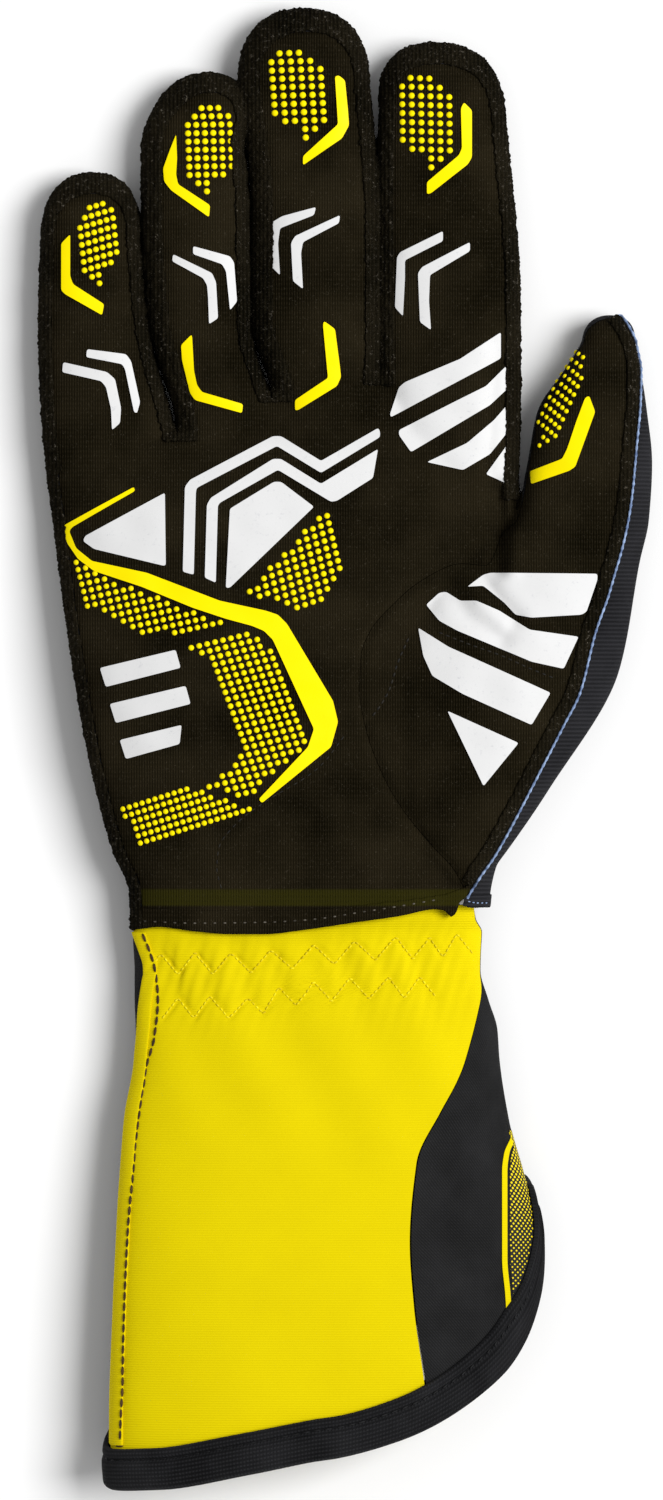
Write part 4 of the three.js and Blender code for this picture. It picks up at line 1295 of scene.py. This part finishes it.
tape_turns = np.linspace(0, 360, 300, endpoint=False)
profile = tape_profile()
tape_points = []
for turn in tape_turns:
    inward = np.array([p[0] for p in profile])
    grow = np.array([p[1] for p in profile])
    down = rim_at(turn) - inward / (cuff_length * math.cos(float(rim_steepness(np.array(turn)))))
    tape_points.append(plain_cuff_point(down, np.full(len(profile), turn), grow))
tape_points = np.array(tape_points)
binding = new_piece(
    "rim_binding", tape_points.reshape(-1, 3), loft_faces(len(tape_turns), len(profile), is_loop=True)
)
face_outwards(binding)
ring_lengths = np.linalg.norm(np.diff(tape_points[:, 10], axis=0, append=tape_points[:1, 10]), axis=1)
around = np.concatenate([[0], np.cumsum(ring_lengths)])
tape_map = binding.data.uv_layers.new(name="cloth")
for polygon in binding.data.polygons:
    rings = [index // len(profile) for index in polygon.vertices]
    wraps = max(rings) - min(rings) > 2
    for loop, index, ring in zip(polygon.loop_indices, polygon.vertices, rings):
        u = around[len(tape_turns)] if wraps and ring == 0 else around[ring]
        tape_map.data[loop].uv = (profile[index % len(profile)][0] * mm, u * mm)
smooth_shading(binding, 60)
print("binding", len(binding.data.polygons))

# %% [markdown]
# ## Stitches and the overlocked edge
# A stitch is a short grain of thread half sunk in the cloth. One grain is modelled and laid along each seam.
# The overlocked edge of the back is a thin pale cord with the twist of its thread.

# %% Runs of stitches
def even_places(line, pitch):
    """Points and directions at even steps along a line."""
    steps = np.linalg.norm(np.diff(line, axis=0), axis=1)
    lengths = np.concatenate([[0], np.cumsum(steps)])
    places = np.arange(pitch / 2, lengths[-1], pitch)
    x = np.interp(places, lengths, line[:, 0])
    y = np.interp(places, lengths, line[:, 1])
    ahead = np.gradient(np.stack([x, y], axis=1), axis=0)
    return np.stack([x, y], axis=1), ahead


def stitch_run(name, line, surface, pitch, size, lift=0.0):
    """Stitches of a given length, width and height along a line seen from above."""
    spots, ahead = even_places(line, pitch)
    places = []
    for (x, y), (dx, dy) in zip(spots, ahead):
        place, normal = surface.under(x, y)
        places.append((Vector(place) + Vector(normal) * lift, normal, (dx, dy, 0)))
    return scatter(name, grain, places, [size] * len(places))


palm_surface = Surface(palm_front, thumb_front)
hem_surface = Surface(palm_hem)
dark_stitches = [
    stitch_run("thumb_top_stitch", smooth_line(top_stitch), palm_surface, 1.7, (1.2, 0.5, 0.4)),
    stitch_run("thumb_bar_stitch", smooth_line(bar_stitch), palm_surface, 1.7, (1.1, 0.42, 0.35)),
    stitch_run("palm_seam_stitch", smooth_line(palm_seam), palm_surface, 1.9, (1.2, 0.35, 0.3)),
]
hem_stitch_line = photo([(140, 921), (193, 923), (265, 922), (314, 919), (360, 912), (399, 906), (440, 899)])
hem_stitches = stitch_run("hem_stitches", smooth_line(hem_stitch_line), hem_surface, 2.3, (0.75, 0.4, 0.35))

back_hem_surface = Surface(hand_back, back_hem)
back_hem_line = smooth_line(photo([(467, 901), (477, 903), (489, 903)]))
back_hem_stitches = stitch_run(
    "back_hem_stitches", back_hem_line, back_hem_surface, 1.0, (0.7, 0.3, 0.3), 0.05
)

seam_stitch_line = photo(
    [(142, 933), (151, 955), (156, 975), (158, 1000), (154, 1040), (147, 1065), (142, 1095), (134, 1160),
     (128, 1235), (125, 1300), (122, 1400), (120, 1449)]
)
strip_surface = Surface(seam_strip, cuff_front)
seam_stitches = stitch_run(
    "cuff_seam_stitches", smooth_line(seam_stitch_line), strip_surface, 2.45, (2.2, 0.7, 0.55), 0.12
)
elastic_stitches = []
for number, line in enumerate(elastic_lines):
    dense = np.vstack([np.linspace(a, b, 8, endpoint=False) for a, b in zip(line[:-1], line[1:])] + [line[-1:]])
    elastic_stitches.append(
        stitch_run(f"elastic_zigzag_{number + 1}", dense, cuff_surface, 1.2, (1.0, 0.42, 0.42), 0.1)
    )


# %% Binding stitches and the overlocked edge
def tape_stitch_places(pitch):
    inward = tape_width * (1 - tape_stitch)
    turns = np.linspace(0, 360, 1440, endpoint=False)
    down = rim_at(turns) - inward / (cuff_length * np.cos(rim_steepness(turns)))
    grow = tape_clearance + tape_thickness - 0.45
    line = plain_cuff_point(down, turns, grow)
    out = plain_cuff_point(down, turns, grow + 1) - line
    lengths = np.concatenate([[0], np.cumsum(np.linalg.norm(np.diff(line, axis=0), axis=1))])
    places = []
    for s in np.arange(0, lengths[-1], pitch):
        i = min(int(np.searchsorted(lengths, s)), len(line) - 2)
        places.append((line[i], out[i], line[i + 1] - line[i]))
    return places


tape_places = tape_stitch_places(2.6)
tape_stitches = scatter("binding_stitches", grain, tape_places, [(1.9, 0.45, 0.4)] * len(tape_places))

overlock_radius = 0.24
overlock_spots = smooth_line(offset_line(smooth_line(thumb_edge, 2), -0.2), 0.5)
overlock_points = []
for x, y in overlock_spots:
    place, normal = hand_surface.under(x, y)
    overlock_points.append(Vector(place) + Vector(normal) * 0.25)
ring_sides = 8
cord_points = []
for i, place in enumerate(overlock_points):
    ahead = (overlock_points[min(i + 1, len(overlock_points) - 1)] - overlock_points[max(i - 1, 0)]).normalized()
    side = ahead.cross(Vector((0, 0, 1))).normalized()
    up = side.cross(ahead)
    bulge = overlock_radius * (1 + 0.35 * math.sin(i * 1.9))
    for s in range(ring_sides):
        angle = 2 * math.pi * s / ring_sides
        cord_points.append(place + side * math.cos(angle) * bulge * 1.15 + up * math.sin(angle) * bulge)
overlock = new_piece("back_overlock_edge", cord_points, loft_faces(len(overlock_points), ring_sides))
face_outwards(overlock)
smooth_shading(overlock, 60)

# %% [markdown]
# ## The printed side of the cuff
# On the thumb side the black panel carries a printed yellow field with a dark net over it, edged by a yellow
# line. Both are thin skins on the panel's own grid, so they bend with it.

# %% Side print
def skin_patch(name, turns, downs, lift):
    """A thin skin on the cuff between two turns for each distance down."""
    points = plain_cuff_point(downs, turns, lift + 0.16)
    rows, columns = downs.shape
    piece = new_piece(name, points.reshape(-1, 3), grid_faces(rows, columns))
    round_turns = np.linspace(turns.min(), turns.max(), 200)
    round_points = plain_cuff_point(np.full(200, 0.5), round_turns, np.full(200, lift))
    steps = np.linalg.norm(np.diff(round_points, axis=0), axis=1)
    map_cloth(piece, points, np.interp(turns, round_turns, np.concatenate([[0], np.cumsum(steps)])))
    if piece.data.polygons[0].normal.x < 0:
        piece.data.flip_normals()
    finish_with(piece, "SOLIDIFY", thickness=0.12 * mm, offset=-1)
    smooth_shading(piece, 40)
    return piece


line_rows = table(
    "down x",
    (0.335, 518), (0.352, 515), (0.372, 510), (0.401, 503), (0.432, 501), (0.588, 501), (0.65, 504),
    (0.695, 505.5),
)


def print_turn(down, shift):
    centre, half, _, _ = cuff_section(down)
    x = photo([(0, 0)])[0, 0] + along(line_rows, "down", "x", down) * pixel + shift
    return turn_at(down, np.minimum(x, centre + half * 0.985))


patch_down = np.linspace(0.345, 0.69, 120)[:, None]
line_across = np.linspace(0, 1, 5)[None, :]
line_turns = print_turn(patch_down, 0) * (1 - line_across) + print_turn(patch_down, 1.2) * line_across
side_print_line = skin_patch("side_print_line", line_turns, patch_down * np.ones_like(line_across), 0.05)
field_across = np.linspace(0, 1, 40)[None, :]
field_down = np.linspace(0.36, 0.665, 110)[:, None]
field_start = print_turn(field_down, 1.9)
field_end = np.full_like(field_start, back_turn + 1.5)
field_turns = field_start * (1 - field_across) + field_end * field_across
rim_limit = rim_at(field_turns) - (tape_width + 0.4) / (cuff_length * np.cos(rim_steepness(field_turns)))
field_downs = np.minimum(field_down * np.ones_like(field_across), rim_limit)
side_print_field = skin_patch("side_print_field", field_turns, field_downs, 0.0)

# %% [markdown]
# ## Shared effects
# Three effects recur in these cloths, so each is a node group that is built once: threads that run along two
# directions, loose fibres that catch the light, and a slow change of tone over the cloth.

# %% Node helpers
def add_node(tree, kind, settings=None, **inputs):
    """Adds a node. An input is a number, a colour or another node's output."""
    node = tree.nodes.new(kind)
    for name, value in (settings or {}).items():
        setattr(node, name, value)
    for name, value in inputs.items():
        socket = node.inputs[int(name[1:])] if name.startswith("i") and name[1:].isdigit() else node.inputs[name]
        if isinstance(value, bpy.types.NodeSocket):
            tree.links.new(value, socket)
        else:
            socket.default_value = value
    return node


def math_node(tree, operation, a, b=0.0):
    return add_node(tree, "ShaderNodeMath", {"operation": operation}, i0=a, i1=b).outputs[0]


def new_group(name, inputs, outputs):
    group = bpy.data.node_groups.new(name, "ShaderNodeTree")
    for label, kind in inputs:
        group.interface.new_socket(name=label, in_out="INPUT", socket_type=kind)
    for label, kind in outputs:
        group.interface.new_socket(name=label, in_out="OUTPUT", socket_type=kind)
    return group, group.nodes.new("NodeGroupInput"), group.nodes.new("NodeGroupOutput")


# %% Threads
threads, entry, exit_node = new_group(
    "threads",
    [("Vector", "NodeSocketVector"), ("Pitch", "NodeSocketFloat"), ("Row pitch", "NodeSocketFloat"),
     ("Slant", "NodeSocketFloat")],
    [("Height", "NodeSocketFloat"), ("Rows", "NodeSocketFloat")],
)
parts = add_node(threads, "ShaderNodeSeparateXYZ", Vector=entry.outputs["Vector"])
slanted = math_node(threads, "MULTIPLY", parts.outputs["Y"], entry.outputs["Slant"])
lean = math_node(threads, "ADD", parts.outputs["X"], slanted)


def half_wave(place, pitch):
    turns = math_node(threads, "DIVIDE", place, pitch)
    sine = math_node(threads, "SINE", math_node(threads, "MULTIPLY", turns, 2 * math.pi))
    scaled = math_node(threads, "MULTIPLY", sine, 0.5)
    return math_node(threads, "ADD", scaled, 0.5)


columns_wave = half_wave(lean, entry.outputs["Pitch"])
rows_wave = half_wave(parts.outputs["Y"], entry.outputs["Row pitch"])
both = math_node(threads, "MULTIPLY", columns_wave, rows_wave)
columns_part = math_node(threads, "MULTIPLY", columns_wave, 0.4)
crossings_part = math_node(threads, "MULTIPLY", both, 0.6)
mixed = math_node(threads, "ADD", columns_part, crossings_part)
threads.links.new(mixed, exit_node.inputs["Height"])
threads.links.new(rows_wave, exit_node.inputs["Rows"])

# %% Fibres
fibres, entry, exit_node = new_group(
    "fibres",
    [("Vector", "NodeSocketVector"), ("Size", "NodeSocketFloat")],
    [("Flecks", "NodeSocketFloat"), ("Height", "NodeSocketFloat")],
)
fine_scale = math_node(fibres, "DIVIDE", 1.0, entry.outputs["Size"])
fine = add_node(
    fibres, "ShaderNodeTexNoise", Vector=entry.outputs["Vector"], Scale=fine_scale, Detail=4.0, Roughness=0.75,
)
sparse_scale = math_node(fibres, "MULTIPLY", fine_scale, 0.45)
sparse = add_node(
    fibres, "ShaderNodeTexNoise", Vector=entry.outputs["Vector"], Scale=sparse_scale, Detail=6.0, Roughness=0.8,
)
flecks = add_node(
    fibres, "ShaderNodeMapRange", {"interpolation_type": "SMOOTHSTEP"},
    Value=sparse.outputs["Fac"], i1=0.56, i2=0.74,
)
fibres.links.new(flecks.outputs["Result"], exit_node.inputs["Flecks"])
fibres.links.new(fine.outputs["Fac"], exit_node.inputs["Height"])

# %% Tone
tone, entry, exit_node = new_group(
    "tone", [("Vector", "NodeSocketVector"), ("Size", "NodeSocketFloat")], [("Amount", "NodeSocketFloat")]
)
tone_scale = math_node(tone, "DIVIDE", 1.0, entry.outputs["Size"])
cloud = add_node(
    tone, "ShaderNodeTexNoise", Vector=entry.outputs["Vector"], Scale=tone_scale, Detail=3.0, Roughness=0.55
)
spread = add_node(tone, "ShaderNodeMapRange", Value=cloud.outputs["Fac"], i1=0.35, i2=0.65)
tone.links.new(spread.outputs["Result"], exit_node.inputs["Amount"])

# %% [markdown]
# ## Finishes
# A finish is one material: a shader with its constant values set on its own sockets, and the shared groups
# for what changes over the surface. Cloth that was laid out as a grid reads its own map. The hand's cloth
# reads the object's coordinates, because its front is nearly flat.

# %% Finish builder
def colour(red, green, blue):
    """A screen colour as the linear colour that the shader takes."""
    values = [c / 255 for c in (red, green, blue)]
    return tuple(c / 12.92 if c <= 0.04045 else ((c + 0.055) / 1.055) ** 2.4 for c in values) + (1.0,)


def blend(tree, amount, first, second, mode="MIX"):
    node = tree.nodes.new("ShaderNodeMix")
    node.data_type = "RGBA"
    node.blend_type = mode
    for socket, value in ((node.inputs[0], amount), (node.inputs[6], first), (node.inputs[7], second)):
        if isinstance(value, bpy.types.NodeSocket):
            tree.links.new(value, socket)
        else:
            socket.default_value = value
    return node.outputs[2]


def group_node(tree, group, **inputs):
    node = tree.nodes.new("ShaderNodeGroup")
    node.node_tree = group
    for name, value in inputs.items():
        socket = node.inputs[name.replace("_", " ")]
        if isinstance(value, bpy.types.NodeSocket):
            tree.links.new(value, socket)
        else:
            socket.default_value = value
    return node


def start_finish(name, roughness, specular, coordinates="Object"):
    """A new material with its shader and the coordinates of its patterns."""
    material = bpy.data.materials.new(name)
    material.use_nodes = True
    tree = material.node_tree
    shader = tree.nodes["Principled BSDF"]
    shader.inputs["Roughness"].default_value = roughness
    shader.inputs["Specular IOR Level"].default_value = specular
    source = tree.nodes.new("ShaderNodeTexCoord").outputs[coordinates]
    return material, tree, shader, source


def add_bump(tree, shader, layers):
    """Bumps one over the other, each a height and a depth in millimetres."""
    normal = None
    for height, depth in layers:
        bump = add_node(tree, "ShaderNodeBump", Height=height, Distance=depth * mm)
        if normal is not None:
            tree.links.new(normal, bump.inputs["Normal"])
        normal = bump.outputs["Normal"]
    tree.links.new(normal, shader.inputs["Normal"])


def cloth_finish(name, dark, light, fleck, pitch, row_pitch, slant=0.0, roughness=0.95, specular=0.15,
                 fibre=0.25, bump=0.12, fleck_amount=0.5, coordinates="Object", tone_size=0.02, rows_only=False):
    """Threads, tone and loose fibres over a shader. Pitches are in metres."""
    material, tree, shader, source = start_finish(name, roughness, specular, coordinates)
    weave = group_node(tree, threads, Vector=source, Pitch=pitch, Row_pitch=row_pitch, Slant=slant)
    fuzz = group_node(tree, fibres, Vector=source, Size=fibre * mm)
    cloud = group_node(tree, tone, Vector=source, Size=tone_size)
    height = weave.outputs["Rows" if rows_only else "Height"]
    shade = math_node(tree, "MULTIPLY", cloud.outputs["Amount"], 0.5)
    base = blend(tree, math_node(tree, "ADD", math_node(tree, "MULTIPLY", height, 0.6), shade), dark, light)
    amount = math_node(tree, "MULTIPLY", fuzz.outputs["Flecks"], fleck_amount)
    tree.links.new(blend(tree, amount, base, fleck), shader.inputs["Base Color"])
    add_bump(tree, shader, [(height, bump), (fuzz.outputs["Height"], bump * 0.8)])
    return material, tree, shader, source


# %% Cloth finishes
suede, suede_tree, suede_shader, suede_source = cloth_finish(
    "brushed knit", colour(8, 6, 1), colour(43, 37, 24), colour(112, 104, 88), 0.0006, 0.0011,
    roughness=1.0, bump=0.18, fleck_amount=0.35, specular=0.03,
)
welt_cloth, _, _, _ = cloth_finish(
    "cut edge of the knit", colour(7, 6, 2), colour(40, 35, 24), colour(140, 132, 118), 0.0009, 0.0008,
    roughness=1.0, bump=0.4, fibre=0.4, fleck_amount=0.75, specular=0.03,
)
stretch, _, _, _ = cloth_finish(
    "ribbed stretch cloth", colour(20, 20, 22), colour(45, 45, 48), colour(80, 80, 84), 0.0004, 0.00095,
    bump=0.16, fleck_amount=0.2, specular=0.06, rows_only=True,
)
yellow_cloth, _, _, _ = cloth_finish(
    "yellow woven cloth", colour(222, 201, 0), colour(229, 209, 0), colour(240, 222, 10), 0.0007, 0.00055,
    roughness=0.8, specular=0.06, bump=0.06, fleck_amount=0.3, coordinates="UV", rows_only=True,
)
black_cloth, _, _, _ = cloth_finish(
    "black woven cloth", colour(22, 22, 22), colour(44, 44, 45), colour(74, 74, 74), 0.00075, 0.00075,
    slant=0.8, roughness=0.85, specular=0.08, bump=0.12, fleck_amount=0.25, coordinates="UV",
)
tape_cloth, _, _, _ = cloth_finish(
    "ribbed elastic tape", colour(10, 10, 11), colour(45, 45, 47), colour(84, 84, 86), 0.0009, 0.0008,
    roughness=0.85, specular=0.08, bump=0.25, fleck_amount=0.3, coordinates="UV",
)

# %% [markdown]
# A translucent olive backing shows through the palm just above its hem. It is a level band in the photograph,
# so a ramp over the object's Y coordinate places it.

# %% Backing band on the palm
band_low, band_high = photo([(0, 907)])[0, 1] * mm, photo([(0, 891)])[0, 1] * mm
height_parts = add_node(suede_tree, "ShaderNodeSeparateXYZ", Vector=suede_source)
rising = add_node(
    suede_tree, "ShaderNodeMapRange", {"interpolation_type": "SMOOTHSTEP"},
    Value=height_parts.outputs["Y"], i1=band_low, i2=band_low + 0.0006,
)
falling = add_node(
    suede_tree, "ShaderNodeMapRange", {"interpolation_type": "SMOOTHSTEP"},
    Value=height_parts.outputs["Y"], i1=band_high, i2=band_high + 0.0008, i3=1.0, i4=0.0,
)
band = math_node(suede_tree, "MULTIPLY", rising.outputs["Result"], falling.outputs["Result"])
cloth_colour = suede_shader.inputs["Base Color"].links[0].from_socket
olive = blend(suede_tree, math_node(suede_tree, "MULTIPLY", band, 0.7), cloth_colour, colour(48, 46, 8))
suede_tree.links.new(olive, suede_shader.inputs["Base Color"])


# %% Silicone
def silicone_finish(name, base, speck, specks):
    """Smooth print ink with a faint dust and a slightly uneven gloss."""
    material, tree, shader, source = start_finish(name, 0.38, 0.06)
    dust = group_node(tree, fibres, Vector=source, Size=0.5 * mm)
    cloud = group_node(tree, tone, Vector=source, Size=0.006)
    amount = math_node(tree, "MULTIPLY", dust.outputs["Flecks"], specks)
    tree.links.new(blend(tree, amount, base, speck), shader.inputs["Base Color"])
    gloss = math_node(tree, "ADD", math_node(tree, "MULTIPLY", cloud.outputs["Amount"], 0.18), 0.32)
    tree.links.new(gloss, shader.inputs["Roughness"])
    add_bump(tree, shader, [(dust.outputs["Height"], 0.02)])
    return material


yellow_silicone = silicone_finish("yellow silicone", colour(255, 234, 0), colour(236, 212, 0), 0.25)
white_silicone = silicone_finish("white silicone", colour(222, 222, 222), colour(172, 174, 182), 0.6)


# %% Threads and edges
def thread_finish(name, base, light):
    """Sewing thread, with a slow change of tone along it."""
    material, tree, shader, source = start_finish(name, 0.7, 0.3)
    cloud = group_node(tree, tone, Vector=source, Size=0.0015)
    tree.links.new(blend(tree, cloud.outputs["Amount"], base, light), shader.inputs["Base Color"])
    add_bump(tree, shader, [(cloud.outputs["Amount"], 0.04)])
    return material


dark_thread = thread_finish("dark thread", colour(14, 12, 8), colour(34, 30, 22))
# The binding's thread is real, but its colour is set darker than the tape's own black as painted shade of the stitch
# groove.
tape_thread_painted_shade = thread_finish("tape thread", colour(7, 7, 8), colour(22, 22, 24))
brown_thread = thread_finish("brown thread", colour(36, 22, 2), colour(78, 52, 8))
yellow_thread = thread_finish("yellow thread", colour(208, 186, 0), colour(246, 230, 24))
grey_thread = thread_finish("grey thread", colour(48, 44, 36), colour(96, 90, 80))
pale_blue_thread = thread_finish("pale blue thread", colour(84, 104, 142), colour(150, 172, 208))


# %% Net over the side print
def net_finish():
    """Yellow dots between the bars of a dark net, smaller towards the rim."""
    material, tree, shader, source = start_finish("netted print", 0.7, 0.25, coordinates="UV")
    turned = add_node(tree, "ShaderNodeMapping", Vector=source, Rotation=(0, 0, math.radians(45)))
    grid = turned.outputs["Vector"]
    cells = add_node(
        tree, "ShaderNodeTexVoronoi", {"feature": "F1"}, Vector=grid, Scale=1 / 0.00088, Randomness=0.0,
    )
    parts = add_node(tree, "ShaderNodeSeparateXYZ", Vector=source)
    size = add_node(tree, "ShaderNodeMapRange", Value=parts.outputs["Y"], i1=0.0, i2=0.03, i3=0.37, i4=0.22)
    inside_dot = math_node(tree, "LESS_THAN", cells.outputs["Distance"], size.outputs["Result"])
    ink = blend(tree, inside_dot, colour(24, 23, 18), colour(236, 212, 0))
    tree.links.new(ink, shader.inputs["Base Color"])
    fuzz = group_node(tree, fibres, Vector=source, Size=0.3 * mm)
    add_bump(tree, shader, [(fuzz.outputs["Height"], 0.05)])
    return material


net = net_finish()

# %% [markdown]
# ## Dressing the glove
# Every piece takes its finish and rides on the one body, and the parts of the imported model that it stands for are
# hidden. The cloth pieces are declared as sheets. Their flat widths and lengths are estimates from the modelled
# pieces, and the flat area is measured on the finished piece, so it says nothing of its own about how the real
# cloth was cut.

# %% Pieces and nodes
def dress(piece, material, slot, *nodes):
    piece.data.materials.clear()
    piece.data.materials.append(material)
    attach(piece, "root")
    if nodes:
        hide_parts(*nodes)


dress(palm_front, suede, "suede", "palm_front")
dress(thumb_front, suede, "suede", "thumb_front")
dress(hand_back, stretch, "stretch", "hand_back", "little_back", "ring_back", "middle_back", "index_back")
for name, piece in welts.items():
    dress(piece, welt_cloth, "welt", f"{name}_welt")
dress(palm_hem, suede, "suede", "palm_hem")
dress(back_hem, stretch, "stretch")
for name, piece in yellow_pieces.items():
    dress(piece, yellow_silicone, "yellow_silicone", name)
for name, piece in white_pieces.items():
    nodes = () if name.startswith("palm_bar") else (name,)
    dress(piece, white_silicone, "white_silicone", *nodes)
for piece in dot_pieces.values():
    dress(piece, yellow_silicone, "yellow_silicone")
dress(cuff_front, yellow_cloth, "yellow_cloth", "cuff_front")
dress(cuff_side, black_cloth, "black_cloth", "cuff_side")
dress(cuff_back, black_cloth, "black_cloth", "cuff_back")
dress(seam_strip, yellow_cloth, "yellow_cloth", "cuff_seam_strip")
dress(binding, tape_cloth, "tape", "cuff_binding")
dress(side_print_line, yellow_cloth, "yellow_cloth")
dress(side_print_field, net, "yellow_cloth")
for piece in dark_stitches:
    dress(piece, dark_thread, "suede")
dress(hem_stitches, grey_thread, "suede")
dress(back_hem_stitches, pale_blue_thread, "stretch")
dress(seam_stitches, brown_thread, "yellow_cloth")
for piece in elastic_stitches:
    dress(piece, yellow_thread, "yellow_cloth")
dress(tape_stitches, tape_thread_painted_shade, "tape")
dress(overlock, pale_blue_thread, "stretch")
drop_piece(hand, hollow, hand_wall_form, welt_layer, print_layer)
drop_piece(thumb_area, wide_thumb_area, back_area, wide_back_area, hem_area, palm_area, front_area)
